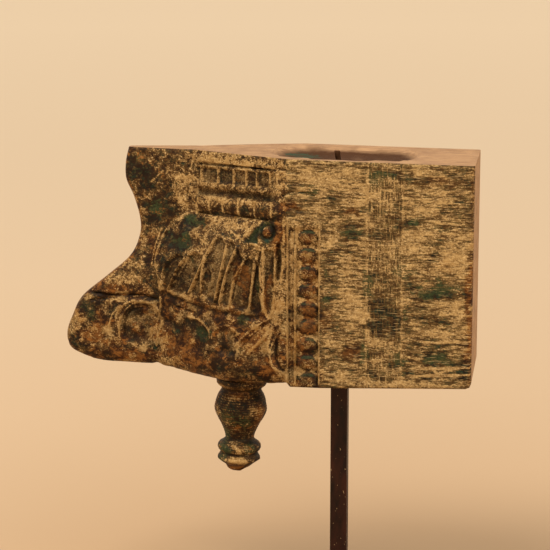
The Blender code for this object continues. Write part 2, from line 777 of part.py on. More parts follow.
def foot_plate(group, cutters, finish):
    curve = bpy.data.curves.new("foot_plate", "CURVE")
    curve.dimensions = "2D"
    curve.fill_mode = "BOTH"
    curve.extrude = 0.5 * FOOT_THICK * MM
    line = curve.splines.new("POLY")
    half = 0.5 * FOOT_SIDE - FOOT_CORNER_R
    corners = []
    for turn, (sx, sy) in enumerate(((1, 1), (-1, 1), (-1, -1), (1, -1))):
        for step in range(FOOT_CORNER_STEPS + 1):
            angle = 0.5 * math.pi * (turn + step / FOOT_CORNER_STEPS)
            x = sx * half + FOOT_CORNER_R * math.cos(angle)
            y = sy * half + FOOT_CORNER_R * math.sin(angle)
            corners.append((x, y))
    line.points.add(len(corners) - 1)
    for point, corner in zip(line.points, corners):
        point.co = (corner[0] * MM, corner[1] * MM, 0.0, 1.0)
    line.use_cyclic_u = True
    flat = bpy.data.objects.new("foot_outline", curve)
    group.objects.link(flat)
    mesh = bpy.data.meshes.new_from_object(flat.evaluated_get(bpy.context.evaluated_depsgraph_get()))
    bpy.data.objects.remove(flat)
    mesh.name = "foot_plate"
    plate = node("foot_plate", mesh, group, finish)
    plate.location = (0.0, 0.0, 0.5 * FOOT_THICK * MM)
    weld = plate.modifiers.new("Weld", "WELD")
    weld.merge_threshold = 0.01 * MM
    ease = plate.modifiers.new("Ease", "BEVEL")
    ease.width = FOOT_EASE * MM
    ease.segments = 1
    wide = ROD_SIDE + 2 * GAP
    seat = box_mesh("rod_seat", (wide, wide, 2 * SEAT_DEEP), (0.0, 0.0, FOOT_THICK))
    cut(plate, helper("rod_seat", seat, cutters), "Rod seat")
    return plate


def build():
    for obj in list(bpy.data.objects):
        bpy.data.objects.remove(obj)
    group = collection("carved_bracket")
    cutters = collection("cutters")
    wood = material("painted_wood", (0.23, 0.15, 0.07), 0.7)
    turned_wood = material("painted_turning", (0.12, 0.09, 0.05), 0.6)
    steel = material("blackened_steel", (0.03, 0.025, 0.02), 0.45, 0.8)
    carved_block(group, cutters, wood)
    pendant_finial(group, cutters, turned_wood)
    stand_rod(group, steel)
    foot_plate(group, cutters, steel)


build()
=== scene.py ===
# %% [markdown]
# # A carved wooden bracket on a rod stand
# The bracket once sat between a column's head and a beam. It is one block of hardwood: square where
# the beam lay on it, swelling into a half-round bell, and thinning to a tongue with a heavy nose. A
# turned pendant hangs under the bell, and a square steel rod in a plate holds it all up for show.
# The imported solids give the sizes. This script puts the fine carving, the worn paint and the steel
# on them, in the same frame: metres, Z up, and Y away from the camera.

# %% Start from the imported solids
import math

import bpy
import numpy as np
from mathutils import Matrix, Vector


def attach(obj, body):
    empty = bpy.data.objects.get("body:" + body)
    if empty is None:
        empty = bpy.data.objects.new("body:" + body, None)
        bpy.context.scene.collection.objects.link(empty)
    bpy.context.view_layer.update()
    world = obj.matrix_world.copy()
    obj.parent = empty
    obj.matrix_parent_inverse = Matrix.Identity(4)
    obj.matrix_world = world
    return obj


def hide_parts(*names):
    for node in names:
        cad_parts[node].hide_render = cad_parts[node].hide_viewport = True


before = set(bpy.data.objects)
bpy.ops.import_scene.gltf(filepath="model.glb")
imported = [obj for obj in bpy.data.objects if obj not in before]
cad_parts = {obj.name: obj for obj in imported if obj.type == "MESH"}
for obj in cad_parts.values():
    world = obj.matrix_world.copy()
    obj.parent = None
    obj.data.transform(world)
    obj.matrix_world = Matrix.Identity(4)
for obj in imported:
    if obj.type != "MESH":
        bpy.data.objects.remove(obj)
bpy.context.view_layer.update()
print("solids:", sorted(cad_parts))

# %% [markdown]
# ## The camera
# The photograph was taken from slightly right of the carved face and a little above it, with a long
# lens, so the top shows as a thin slanting band. A camera can be aimed with a constraint or by an
# angle. Two angles and a distance are used here, because they can be read off the object: the end
# face and the top show by known amounts.

# %% The camera, at the photograph's angle
def placed(name, data):
    """A new object, put into the scene."""
    made = bpy.data.objects.new(name, data)
    bpy.context.scene.collection.objects.link(made)
    return made


AZIMUTH = math.radians(8.2)
ELEVATION = math.radians(11.1)
CAMERA_AT = Vector((0.2042, -1.854, 0.7012))
SENSOR = 36.0
FOCAL_PIXELS = 2000.0
PHOTO_PIXELS = 550.0
back = Vector((
    math.sin(AZIMUTH) * math.cos(ELEVATION),
    -math.cos(AZIMUTH) * math.cos(ELEVATION),
    math.sin(ELEVATION),
))
lens = bpy.data.cameras.new("camera")
lens.sensor_width = SENSOR
lens.lens = FOCAL_PIXELS / PHOTO_PIXELS * SENSOR
camera = placed("camera", lens)
camera.location = CAMERA_AT
camera.rotation_euler = (-back).to_track_quat("-Z", "Y").to_euler()
bpy.context.scene.camera = camera
print("lens in mm:", round(lens.lens, 1))

# %% [markdown]
# ## Colours and nodes
# Colours are written as they look on a screen, in sRGB hex, and one function turns them linear for
# the renderer. A material could be drawn by hand in the node editor. Here one small function adds a
# node with its settings and links, so each material reads from top to bottom like a recipe.

# %% Colours and nodes
def linear(code):
    """An sRGB hex colour as linear red, green, blue and alpha."""
    parts = [int(code[at:at + 2], 16) / 255 for at in (1, 3, 5)]
    parts = [p / 12.92 if p <= 0.04045 else ((p + 0.055) / 1.055) ** 2.4 for p in parts]
    return (*parts, 1.0)


def add(tree, kind, inputs=None, output=0, **settings):
    """Adds one node, sets or links its inputs, and returns one of its outputs."""
    node = tree.nodes.new("ShaderNode" + kind)
    for name, value in settings.items():
        setattr(node, name, value)
    for key, value in (inputs or {}).items():
        if isinstance(value, bpy.types.NodeSocket):
            tree.links.new(value, node.inputs[key])
        else:
            node.inputs[key].default_value = value
    return node.outputs[output] if node.outputs else None


# Settings of a mix of two colours, whose result is its third output.
COLOURS = {"output": 2, "data_type": "RGBA"}


def new_material(name):
    """An empty node material."""
    made = bpy.data.materials.new(name)
    made.use_nodes = True
    made.node_tree.nodes.clear()
    return made, made.node_tree


print("pale paint, linear:", [round(part, 3) for part in linear("#b8935a")])

# %% [markdown]
# ## Floor and light
# A long pale floor runs from under the foot to far behind the object, so it fills the picture as the
# plain wall does in the photograph. One large soft lamp above and to the left of the camera, and a
# weaker one on the right, give the broad light that leaves soft shade under every ridge. A big
# lamp close by is softer than a small one far off.

# %% The floor
def square(half):
    """Corners of a square about the middle, half a side from it."""
    return [(-half, -half), (half, -half), (half, half), (-half, half)]


FLOOR_HALF = 30.0
floor_mesh = bpy.data.meshes.new("floor")
floor_mesh.from_pydata([(x, y, 0.0) for x, y in square(FLOOR_HALF)], [], [(0, 1, 2, 3)])
floor = placed("floor", floor_mesh)
# Matt pale plaster: a quiet, faintly mottled ground. Its paling with distance from the camera is painted
# light.
plaster, tree = new_material("pale_plaster")
place = add(tree, "TexCoord", output="Object")
mottle = add(tree, "TexNoise", {"Vector": place, "Scale": 1.5, "Detail": 2.0})
near_tone = add(tree, "Mix", {0: mottle, 6: linear("#b99c7b"), 7: linear("#bfa280")}, **COLOURS)
reach = add(tree, "VectorMath", {0: place}, "Value", operation="LENGTH")
reach = add(tree, "Math", {0: reach, 1: -CAMERA_AT[1]}, operation="ADD")
slant = add(tree, "Math", {0: 1.0, 1: reach}, operation="DIVIDE")
far_painted_light = add(tree, "MapRange", {"Value": slant, "From Min": 0.47, "From Max": 0.1})
tone = add(tree, "Mix", {0: far_painted_light, 6: near_tone, 7: linear("#ffe9ca")}, **COLOURS)
skin = add(tree, "BsdfPrincipled", {"Base Color": tone, "Roughness": 0.9})
add(tree, "OutputMaterial", {"Surface": skin})
floor_mesh.materials.append(plaster)
print("floor in metres:", 2 * FLOOR_HALF)

# %% The lamps
AIM_AT = Vector((-0.05, 0.0, 0.3))
ROOM_LIGHT = 0.84


def lamp(name, place, size, watts, colour):
    """A square soft lamp, aimed at the middle of the block."""
    data = bpy.data.lights.new(name, "AREA")
    data.size = size
    data.energy = watts
    data.color = linear(colour)[:3]
    made = placed(name, data)
    made.location = place
    made.rotation_euler = (AIM_AT - Vector(place)).to_track_quat("-Z", "Y").to_euler()


lamp("key", (-0.7, -1.15, 2.4), 1.0, 46.0, "#ffeeda")
lamp("fill", (2.4, -1.2, 1.3), 1.4, 28.0, "#ffeedc")
room = bpy.data.worlds.new("room")
room.use_nodes = True
background = room.node_tree.nodes["Background"]
background.inputs["Color"].default_value = linear("#fff2e0")
background.inputs["Strength"].default_value = ROOM_LIGHT
bpy.context.scene.world = room
bpy.context.scene.view_settings.view_transform = "Standard"
print("lamps:", [made.name for made in bpy.data.lights])

# %% [markdown]
# ## The block's plain form
# Before any carving, the block is a sheet of changing thickness: a thin tongue on the left, half of
# a bell, and a full-thickness beam. It could be modelled with loops and a subdivision surface. A
# formula was chosen, because the solid behind it is made from the same sizes, and because the
# carving can then be added along the form's own normals, as the carver cut square into the wood.
# The tables are in millimetres, and heights count from the block's zero, 230 mm over the floor.

# %% Sizes of the plain form
MM = 0.001
BLOCK_LIFT = 230.0
# The block: a full-thickness beam end that narrows to a thin tongue on the left.
HALF_THICK = 59.0
END_X = 127.8
END_CORNER_R = 5.0
TONGUE_HALF_EDGE = 5.5
TONGUE_HALF_ROOT = 15.5
TONGUE_TAPER = 60.0
TONGUE_HALF_NOSE = 14.0
NOSE_BLEND_Z = (145.0, 85.0)
SKIN_MIN = 2.0

# Height of the sawn top along X.
TOP_LINE = (
    (-204.0, 225.0),
    (-140.0, 224.8),
    (-75.0, 223.8),
    (0.0, 222.4),
    (80.0, 220.9),
    (127.8, 220.2),
)

# Cyma profile of the tongue, from the top corner round the nose to its underside.
TONGUE_PROFILE = (
    (-203.0, 225.0),
    (-206.3, 210.0),
    (-206.0, 194.0),
    (-199.0, 178.0),
    (-193.0, 156.0),
    (-193.8, 139.5),
    (-203.4, 119.5),
    (-228.0, 98.0),
    (-250.6, 79.0),
    (-261.0, 59.5),
    (-266.8, 42.0),
    (-262.0, 27.0),
    (-241.0, 16.8),
)

# Underside of the block: x and height.
UNDERSIDE = (
    (-241.0, 16.8),
    (-226.0, 14.8),
    (-183.0, 13.6),
    (-176.5, 15.2),
    (-170.0, 13.2),
    (-140.0, 9.6),
    (-120.0, 8.6),
    (-70.0, 6.8),
    (-50.0, 7.4),
    (-42.8, 8.8),
    (-12.0, 8.6),
    (122.8, 12.5),
)

# The half-round bell: left limit of its swelling, by height, and the width of the swelling.
BELL_LEFT = (
    (19.0, -176.0),
    (75.0, -172.0),
    (94.0, -177.0),
    (116.0, -178.0),
    (132.0, -174.0),
    (145.0, -166.0),
    (168.0, -142.0),
    (225.0, -137.0),
)
BELL_SWELL_LOW = 75.0
BELL_SWELL_HIGH = 98.0
BELL_SWELL_Z = (100.0, 200.0)
BELL_FULLNESS = 0.05
BELL_RIGHT_X = -42.8
LADDER_RIGHT_X = -11.0
BEAM_EDGE = 1.5

# Worn arrises: radius along the tongue's edge, under the nose, under the bell and on the beam.
R_FASCIA = 6.0
R_NOSE = 12.0
R_BELL_FOOT = 22.0
R_BEAM = 2.5
R_TOP = 1.0
BELL_FOOT_X = (-176.0, -140.0)
BEAM_FOOT_X = (-48.0, -40.0)

# %% [markdown]
# ## Where the carving lies
# The neck has rows of dentils, a hollow and cushions. Long petals hang from it round the bell, lotus
# petals lie on the bulge and the nose, and a ladder of tongues between fillets ends the carving.
# Each is a line or an outline in the face, with a height or a depth. The solid has all of it too,
# with ribs a little wider and higher than these.

# %% Lines and outlines of the carving
# The neck's rows, by height.
NECK_LEFT_X = (-136.0, -133.0)
NECK_RIGHT_X = (-55.0, -43.0)
# The rows' right ends are cut back on this slant, by so many mm for each mm up.
ROW_SLANT = 0.45
GROOVE_TOP_Z = 212.3
GROOVE_LOW_Z = 166.8
GROOVE_HALF = 1.8
GROOVE_DEEP = 3.2
DENTIL_Z = (195.6, 208.8)
DENTIL_RIBS = (-130.5, -113.2, -97.4, -84.5, -73.8, -60.9, -53.5)
DENTIL_DEEP = 2.8
RIB_HALF = 1.5
DENTIL_RIB_HALF = 2.4
SCOTIA_Z = (183.8, 191.0)
SCOTIA_DEEP = 3.6
SCOTIA_ARC = 0.62 * math.pi
SCOTIA_LIP_DEEP = 3.2
SCOTIA_LIP_HALF = 1.6
CUSHION_Z = (168.5, 182.0)
CUSHION_RIBS = (-134.4, -121.4, -107.1, -91.4, -75.1, -58.6, -46.0)
CUSHION_HIGH = 1.8
CUSHION_RIB_HIGH = 1.2
CUSHION_CREST = 1.5

# The bell's hanging petals: each rib runs top, middle, foot, and flares to the left.
PETAL_RIBS = (
    ((-165.0, 118.0), (-168.5, 105.0), (-169.0, 91.0)),
    ((-143.0, 126.0), (-153.0, 112.0), (-163.0, 91.5)),
    ((-123.0, 128.0), (-131.0, 110.5), (-139.5, 93.0)),
    ((-114.0, 145.0), (-124.5, 122.0), (-127.0, 94.0)),
    ((-101.0, 142.0), (-105.0, 122.0), (-113.0, 86.0)),
    ((-91.0, 140.0), (-100.0, 118.0), (-108.0, 87.0)),
    ((-84.0, 127.0), (-93.0, 110.0), (-97.0, 86.0)),
    ((-74.0, 127.0), (-76.0, 110.0), (-79.0, 81.0)),
    ((-69.0, 122.0), (-68.0, 100.0), (-65.6, 80.0)),
)
RIB_LINE_HALF = 1.8
RIB_LINE_HIGH = 1.3
PETAL_DEEP = 3.4
PETAL_SOFT = 3.2
PETAL_ARCH = 5.0
ARCH_SHARE = 0.4

# Plain leaves rolled over the bell's shoulder, and the band between petals and bulge.
SHOULDER_LEAVES = (
    ((-147.0, 156.0), (-130.0, 163.5), (-116.0, 161.0), (-122.0, 151.5), (-142.0, 147.0)),
    ((-168.0, 136.0), (-150.0, 146.0), (-128.0, 147.0), (-130.0, 133.0), (-160.0, 127.0)),
)
LEAF_DEEP = 2.4
LEAF_SOFT = 7.0
WAIST_DEEP = 2.2
WAIST_HALF = 5.0
EDGE_HIGH = 1.6
EDGE_HALF = 3.0
WAIST = ((-166.0, 86.0), (-140.0, 80.0), (-105.0, 76.5), (-70.0, 74.0))
BELL_EDGE = (
    (-143.0, 164.0),
    (-160.0, 151.0),
    (-171.5, 138.0),
    (-175.0, 122.0),
    (-171.0, 91.0),
    (-171.0, 68.0),
)

# Beside the fillets: round boss, triangle, long petal, deep cut, flowing edge and drop.
ROUND_BOSS = (-61.9, 155.5)
ROUND_BOSS_R = 6.5
BOSS_DEEP = 2.4
BOSS_HIGH = 1.4
BOSS_LINE_HALF = 2.8
BOSS_HEAD_R = 5.0
TRIANGLE = ((-69.5, 162.0), (-87.0, 145.3), (-70.0, 143.0))
LONG_PETAL = (
    (-65.6, 140.0),
    (-65.8, 105.0),
    (-64.5, 82.0),
    (-60.5, 75.0),
    (-56.5, 82.0),
    (-54.8, 105.0),
    (-54.6, 140.0),
)
TRIANGLE_DEEP = 3.6
TRIANGLE_SOFT = 3.0
LONG_PETAL_DEEP = 2.6
LONG_PETAL_SOFT = 3.4
LONG_PETAL_HIGH = 1.4
LONG_PETAL_HALF = 2.0
DEEP_CUT = ((-51.2, 143.0), (-50.6, 130.0), (-52.0, 112.0))
DEEP_CUT_DEEP = 4.0
DEEP_CUT_HALF = 3.2
FLOW_EDGE = (
    (-46.4, 166.0), (-46.8, 130.0), (-53.5, 73.0), (-61.0, 49.0), (-57.5, 29.0), (-50.0, 19.0),
)
FLOW_HALF = 2.6
DROP = ((-47.2, 69.0), (-53.0, 52.0), (-53.0, 33.0), (-47.0, 24.0))
DROP_DEEP = 2.4
DROP_HALF = 3.0

# Arched lotus petals on the nose and bulge: centre x, top z, width, height and how fresh each is.
LOTUS_PETALS = (
    (-193.0, 78.0, 46.0, 44.0, 0.8),
    (-195.5, 72.0, 32.0, 34.0, 0.4),
    (-137.0, 68.5, 38.0, 36.0, 0.9),
    (-101.5, 65.0, 28.0, 30.0, 0.8),
)
LOTUS_DEEP = 2.0
LOTUS_SOFT = 6.0
LOTUS_HEAD = 0.45
LOTUS_FOOT = 0.36
LOTUS_STEPS = 12
LOTUS_EYE = (-164.7, 59.6)
LOTUS_EYE_R = 7.0
LOTUS_EYE_DEEP = 2.8
NOSE_GROOVE = ((-244.0, 85.5), (-220.0, 82.5), (-192.0, 83.0), (-174.0, 79.0))
NOSE_GROOVE_DEEP = 3.0
NOSE_GROOVE_HALF = 2.4
LEAF_LINE_HALF = 2.6
LEAF_LINES = (
    ((-59.0, 74.5), (-78.0, 62.5), (-92.0, 47.0)),
    ((-54.5, 68.0), (-67.0, 53.5), (-80.0, 40.0)),
)

# Upright fillets and the ladder of tongues between them.
FILLET_X = (-42.8, -36.0, -13.5)
FILLET_TOP_Z = (169.0, 144.0, 166.0)
FILLET_HALF = 1.7
FILLET_HIGH = 1.4
CHANNEL_DEEP = 2.6
CHANNEL_TOP_Z = (157.0, 161.0)
CHANNEL_SIDE = 0.8
LADDER_X = (-34.0, -15.2)
LADDER_TOP_Z = 151.0
LADDER_PITCH = 16.9
LADDER_COUNT = 9
LADDER_HALF_TALL = 6.6
LADDER_HIGH = 2.4
LADDER_NOSE = 0.55

# The carving dies out towards the block's rim, and the hidden face is cut shallower.
RIM_FADE = (1.0, 7.0)
TOP_FADE = (0.5, 3.0)
HIDDEN_SHARE = 0.75

# Worn hollow in the top face.
SCOOP_X = 4.0
SCOOP_HALF_LONG = 69.0
SCOOP_HALF_WIDE = 43.0
SCOOP_DEEP = 7.0
SCOOP_SQUARE = 3
SCOOP_WALL = 0.6

# %% [markdown]
# ## Shapes for ridges, hollows and lines
# Every cut in the face is put together from a few shapes: a soft step, a smooth line through points,
# a rounded ridge along a line, and a hollow with a rounded edge. Sculpting brushes make the same
# shapes by hand. Formulas are used because a cut can then be moved or deepened by one number.

# %% Shapes for ridges, hollows and lines
def smooth(start, end, value):
    """A soft step: 0 at the start, 1 at the end."""
    part = np.clip((value - start) / (end - start), 0.0, 1.0)
    return part * part * (3.0 - 2.0 * part)


def curve_through(points, steps=8):
    """A smooth line through a few points."""
    given = np.array(points, float)
    found = []
    for index in range(len(given) - 1):
        before = given[max(index - 1, 0)]
        start = given[index]
        end = given[index + 1]
        after = given[min(index + 2, len(given) - 1)]
        for step in range(steps):
            t = step / steps
            straight = (end - before) * t
            bend = (2 * before - 5 * start + 4 * end - after) * t * t
            twist = (3 * start - before - 3 * end + after) * t**3
            found.append(0.5 * (2 * start + straight + bend + twist))
    found.append(given[-1])
    return np.array(found)


def nearest(x, z, line):
    """Distance from each point to a line of points, and how far along the line it falls."""
    best = np.full(x.shape, 1e9)
    along = np.zeros(x.shape)
    count = len(line) - 1
    for index in range(count):
        start = line[index]
        run = line[index + 1] - start
        part = ((x - start[0]) * run[0] + (z - start[1]) * run[1]) / (run @ run)
        part = np.clip(part, 0.0, 1.0)
        away = np.hypot(x - start[0] - part * run[0], z - start[1] - part * run[1])
        closer = away < best
        best = np.where(closer, away, best)
        along = np.where(closer, (index + part) / count, along)
    return best, along


def hump(distance, half):
    """A rounded ridge: 1 on its line, 0 from half its width outward."""
    return 0.5 + 0.5 * np.cos(math.pi * np.clip(distance / half, 0.0, 1.0))


def rib(x, z, points, half):
    """A rounded ridge along a smooth line through a few points."""
    return hump(nearest(x, z, curve_through(points, 5))[0], half)


def band(value, low, high, soft):
    """1 between two values, with a soft step at each."""
    return smooth(low - soft, low + soft, value) * (1.0 - smooth(high - soft, high + soft, value))


def sunk(x, z, outline, soft):
    """A hollow with a rounded edge: 0 outside an outline, rising to 1 inside it."""
    corners = np.array(outline, float)
    closed = np.vstack([corners, corners[:1]])
    inside = np.zeros(x.shape, bool)
    for start, end in zip(closed[:-1], closed[1:]):
        crosses = (start[1] > z) != (end[1] > z)
        rise = end[1] - start[1] if end[1] != start[1] else 1e-9
        inside ^= crosses & (x < start[0] + (z - start[1]) / rise * (end[0] - start[0]))
    return inside * smooth(0.0, soft, nearest(x, z, closed)[0])

# %% [markdown]
# ## The form and its worn edges
# The next functions give the thickness at any place, and how far handling has rounded the edges.
# Hardwood edges wear first, so the radius is largest under the bell and the nose, where hands and
# ropes reached.

# %% Thickness and worn edges
def top_z(x):
    """Height of the sawn top."""
    places, heights = zip(*TOP_LINE)
    return np.interp(x, places, heights)


def edge_x(z):
    """The tongue's profile: its x at a height."""
    profile = curve_through(TONGUE_PROFILE)[::-1]
    return np.interp(z, profile[:, 1], profile[:, 0])


def underside_z(x):
    """Height of the underside, rounded up at the end's lower corner."""
    places, heights = zip(*UNDERSIDE)
    corner = np.clip(x - (END_X - END_CORNER_R), 0.0, END_CORNER_R)
    return np.interp(x, places, heights) + END_CORNER_R - np.sqrt(END_CORNER_R**2 - corner**2)


def half_thickness(x, z):
    """Half the thickness of the uncarved form: tongue on the left, bell, then the beam."""
    heights, limits = zip(*BELL_LEFT)
    width = BELL_SWELL_LOW + (BELL_SWELL_HIGH - BELL_SWELL_LOW) * smooth(*BELL_SWELL_Z, z)
    swell = np.clip((x - np.interp(z, heights, limits)) / width, 0.0, 1.0)
    swell = swell + BELL_FULLNESS * np.sin(math.pi * swell)
    blade = np.clip((x - edge_x(z)) / TONGUE_TAPER, 0.0, 1.0)
    blade = TONGUE_HALF_EDGE + (TONGUE_HALF_ROOT - TONGUE_HALF_EDGE) * blade
    tongue = blade + (TONGUE_HALF_NOSE - blade) * smooth(*NOSE_BLEND_Z, z)
    return tongue + (HALF_THICK - tongue) * swell


def worn_away(x, z):
    """How far the rounded arrises draw the face back."""
    profile = curve_through(TONGUE_PROFILE)
    side, along = nearest(x, z, profile)
    side_r = R_FASCIA + (R_NOSE - R_FASCIA) * smooth(0.5, 0.8, along)
    side_r = np.minimum(side_r, half_thickness(x, z) - SKIN_MIN)
    under = z - underside_z(x)
    under_r = R_NOSE + (R_BELL_FOOT - R_NOSE) * smooth(*BELL_FOOT_X, x)
    under_r = under_r + (R_BEAM - under_r) * smooth(*BEAM_FOOT_X, x)
    under_r = np.minimum(under_r, half_thickness(x, z) - SKIN_MIN)
    lost = np.zeros(x.shape)
    for away, radius in ((side, side_r), (under, under_r), (END_X - x, R_BEAM), (top_z(x) - z, R_TOP)):
        short = np.clip(radius - away, 0.0, radius)
        lost = np.hypot(lost, radius - np.sqrt(radius**2 - short**2))
    return np.minimum(lost, half_thickness(x, z) - SKIN_MIN)

# %% [markdown]
# ## The main forms of the carving
# Rows, petals, leaves, boss, fillets and tongues are each a function that gives a height in
# millimetres at any place on the face. They could be modelled as loose pieces. Carving is one
# surface without seams, though, and heights that are simply added up keep it so.

# %% The carving, as heights over the plain form
def neck_rows(x, z):
    """Groove, sunk dentils, scotia, cushions and groove, across the bell's neck."""
    cut_back = ROW_SLANT * np.clip(z - GROOVE_LOW_Z, 0.0, SCOTIA_Z[0] - GROOVE_LOW_Z)
    across = smooth(*NECK_LEFT_X, x) * (1.0 - smooth(*NECK_RIGHT_X, x + cut_back))
    height = -GROOVE_DEEP * hump(abs(z - GROOVE_TOP_Z), GROOVE_HALF)
    height = height - GROOVE_DEEP * hump(abs(z - GROOVE_LOW_Z), GROOVE_HALF)
    open_part = np.ones(x.shape)
    for place in DENTIL_RIBS:
        open_part = open_part * (1.0 - hump(abs(x - place), DENTIL_RIB_HALF))
    height = height - DENTIL_DEEP * open_part * band(z, *DENTIL_Z, 1.0)
    low, high = SCOTIA_Z
    drop = np.clip((high - z) / (high - low), 0.0, 1.0)
    height = height - SCOTIA_DEEP * np.sin(drop * SCOTIA_ARC) * (z > low) * (z < high)
    height = height - SCOTIA_LIP_DEEP * hump(np.clip(low - z, 0.0, None), SCOTIA_LIP_HALF) * (z <= low)
    low, high = CUSHION_Z
    edges = np.array(CUSHION_RIBS)
    for left, right in zip(edges[:-1], edges[1:]):
        part = (x - 0.5 * (left + right)) / (0.5 * (right - left))
        rise = (z - 0.5 * (low + high) - CUSHION_CREST) / (0.5 * (high - low))
        pillow = np.clip(1.0 - part**4, 0.0, 1.0) * np.clip(1.0 - rise**2, -0.6, 1.0)
        inside = (abs(part) < 1.0) * band(z, low, high, 0.8)
        height = height + CUSHION_HIGH * pillow * inside
    for place in CUSHION_RIBS:
        height = height + CUSHION_RIB_HIGH * hump(abs(x - place), RIB_HALF) * band(z, low, high, 0.8)
    return height * across


def bell_petals(x, z):
    """Long petals hanging from the neck: hollows with arched tops between the ribs."""
    lines = [curve_through(points, 5) for points in PETAL_RIBS]
    hollow = np.zeros(x.shape)
    ridge = np.zeros(x.shape)
    for left, right in zip(lines[:-1], lines[1:]):
        arch = 0.5 * (left[0] + right[0]) + (0.0, PETAL_ARCH)
        foot = 0.5 * (left[-1] + right[-1]) - (0.0, PETAL_ARCH)
        top_line = curve_through((left[0], arch, right[0]), 4)
        foot_line = curve_through((right[-1], foot, left[-1]), 4)
        outline = np.vstack([top_line[:-1], right, foot_line[1:-1], left[:0:-1]])
        hollow = np.maximum(hollow, sunk(x, z, outline, PETAL_SOFT))
        ridge = np.maximum(ridge, ARCH_SHARE * hump(nearest(x, z, top_line)[0], RIB_LINE_HALF))
    for line in lines:
        ridge = np.maximum(ridge, hump(nearest(x, z, line)[0], RIB_LINE_HALF))
    return RIB_LINE_HIGH * ridge - PETAL_DEEP * hollow


def shoulder(x, z):
    """Two plain leaves rolled over the bell's shoulder, the bell's edge and its waist."""
    height = np.zeros(x.shape)
    for outline in SHOULDER_LEAVES:
        height = height - LEAF_DEEP * sunk(x, z, curve_through(outline, 4), LEAF_SOFT)
    height = height - WAIST_DEEP * rib(x, z, WAIST, WAIST_HALF)
    return height + EDGE_HIGH * rib(x, z, BELL_EDGE, EDGE_HALF)


def beside_fillets(x, z):
    """Round boss, triangle, long petal, deep cut, flowing edge and drop by the first fillet."""
    away = np.hypot(x - ROUND_BOSS[0], z - ROUND_BOSS[1])
    height = BOSS_HIGH * hump(away, BOSS_HEAD_R)
    height = height - BOSS_DEEP * hump(abs(away - ROUND_BOSS_R), BOSS_LINE_HALF)
    height = height - TRIANGLE_DEEP * sunk(x, z, TRIANGLE, TRIANGLE_SOFT)
    line = curve_through(LONG_PETAL, 5)
    height = height - LONG_PETAL_DEEP * sunk(x, z, line, LONG_PETAL_SOFT)
    height = height + LONG_PETAL_HIGH * hump(nearest(x, z, line)[0], LONG_PETAL_HALF)
    height = height - DEEP_CUT_DEEP * rib(x, z, DEEP_CUT, DEEP_CUT_HALF)
    height = height + EDGE_HIGH * rib(x, z, FLOW_EDGE, FLOW_HALF)
    return height - DROP_DEEP * rib(x, z, DROP, DROP_HALF)


def lotus_arch(centre, top, wide, tall):
    """Outline of one arched petal: upright sides drawn in to the foot, and a round head."""
    outline = []
    head = LOTUS_HEAD * tall
    for step in range(LOTUS_STEPS + 1):
        angle = math.pi * step / LOTUS_STEPS
        outline.append((centre - 0.5 * wide * math.cos(angle), top - head + head * math.sin(angle)))
    outline.append((centre + LOTUS_FOOT * wide, top - tall))
    outline.append((centre - LOTUS_FOOT * wide, top - tall))
    return outline


def lotus_petals(x, z):
    """Arched petals on the bulge, the band over the nose, an eye hollow and the slanting leaf."""
    height = np.zeros(x.shape)
    for *petal, fresh in LOTUS_PETALS:
        outline = lotus_arch(*petal)
        hollow = sunk(x, z, outline, LOTUS_SOFT)
        height = height - fresh * LOTUS_DEEP * hollow
        edge = nearest(x, z, np.array(outline[:-1]))[0]
        height = height + fresh * RIB_LINE_HIGH * hump(edge, RIB_LINE_HALF)
    height = height - NOSE_GROOVE_DEEP * rib(x, z, NOSE_GROOVE, NOSE_GROOVE_HALF)
    height = height - LOTUS_EYE_DEEP * hump(np.hypot(x - LOTUS_EYE[0], z - LOTUS_EYE[1]), LOTUS_EYE_R)
    for points in LEAF_LINES:
        height = height + EDGE_HIGH * rib(x, z, points, LEAF_LINE_HALF)
    return height


def fillets(x, z):
    """Upright fillets, the sunk channel and the ladder of rounded tongues."""
    height = np.zeros(x.shape)
    bed = band(x, FILLET_X[0], FILLET_X[-1], CHANNEL_SIDE) * (1.0 - smooth(*CHANNEL_TOP_Z, z))
    height = height - CHANNEL_DEEP * bed
    start, end = LADDER_X
    for step in range(LADDER_COUNT):
        middle = LADDER_TOP_Z - LADDER_PITCH * step
        past = np.clip((x - start) / (LADDER_NOSE * (end - start)), 0.0, 1.0)
        tall = LADDER_HALF_TALL * np.sqrt(1.0 - (1.0 - past) ** 2)
        part = abs(z - middle) / np.maximum(tall, 0.5)
        inside = (x > start) * (x < end) * (part < 1.0)
        height = height + LADDER_HIGH * inside * np.sqrt(np.clip(1.0 - part**2, 0.0, 1.0))
    for place, top in zip(FILLET_X, FILLET_TOP_Z):
        line = hump(abs(x - place), FILLET_HALF) * (z < top)
        height = height * (1.0 - line) + FILLET_HIGH * line
    return height

# %% [markdown]
# ## Chisel marks, chips and the finest lines
# The solid stops at forms that show from a step away. Here the same face gets what shows close up:
# lines inside the petals, nested arcs on the nose, leaf lines on the bulge, chisel facets and small
# losses along the edges. Smooth seeded noise stands for the tool's rhythm. A displacement modifier
# could add it, but a height in millimetres keeps it in step with the rest.

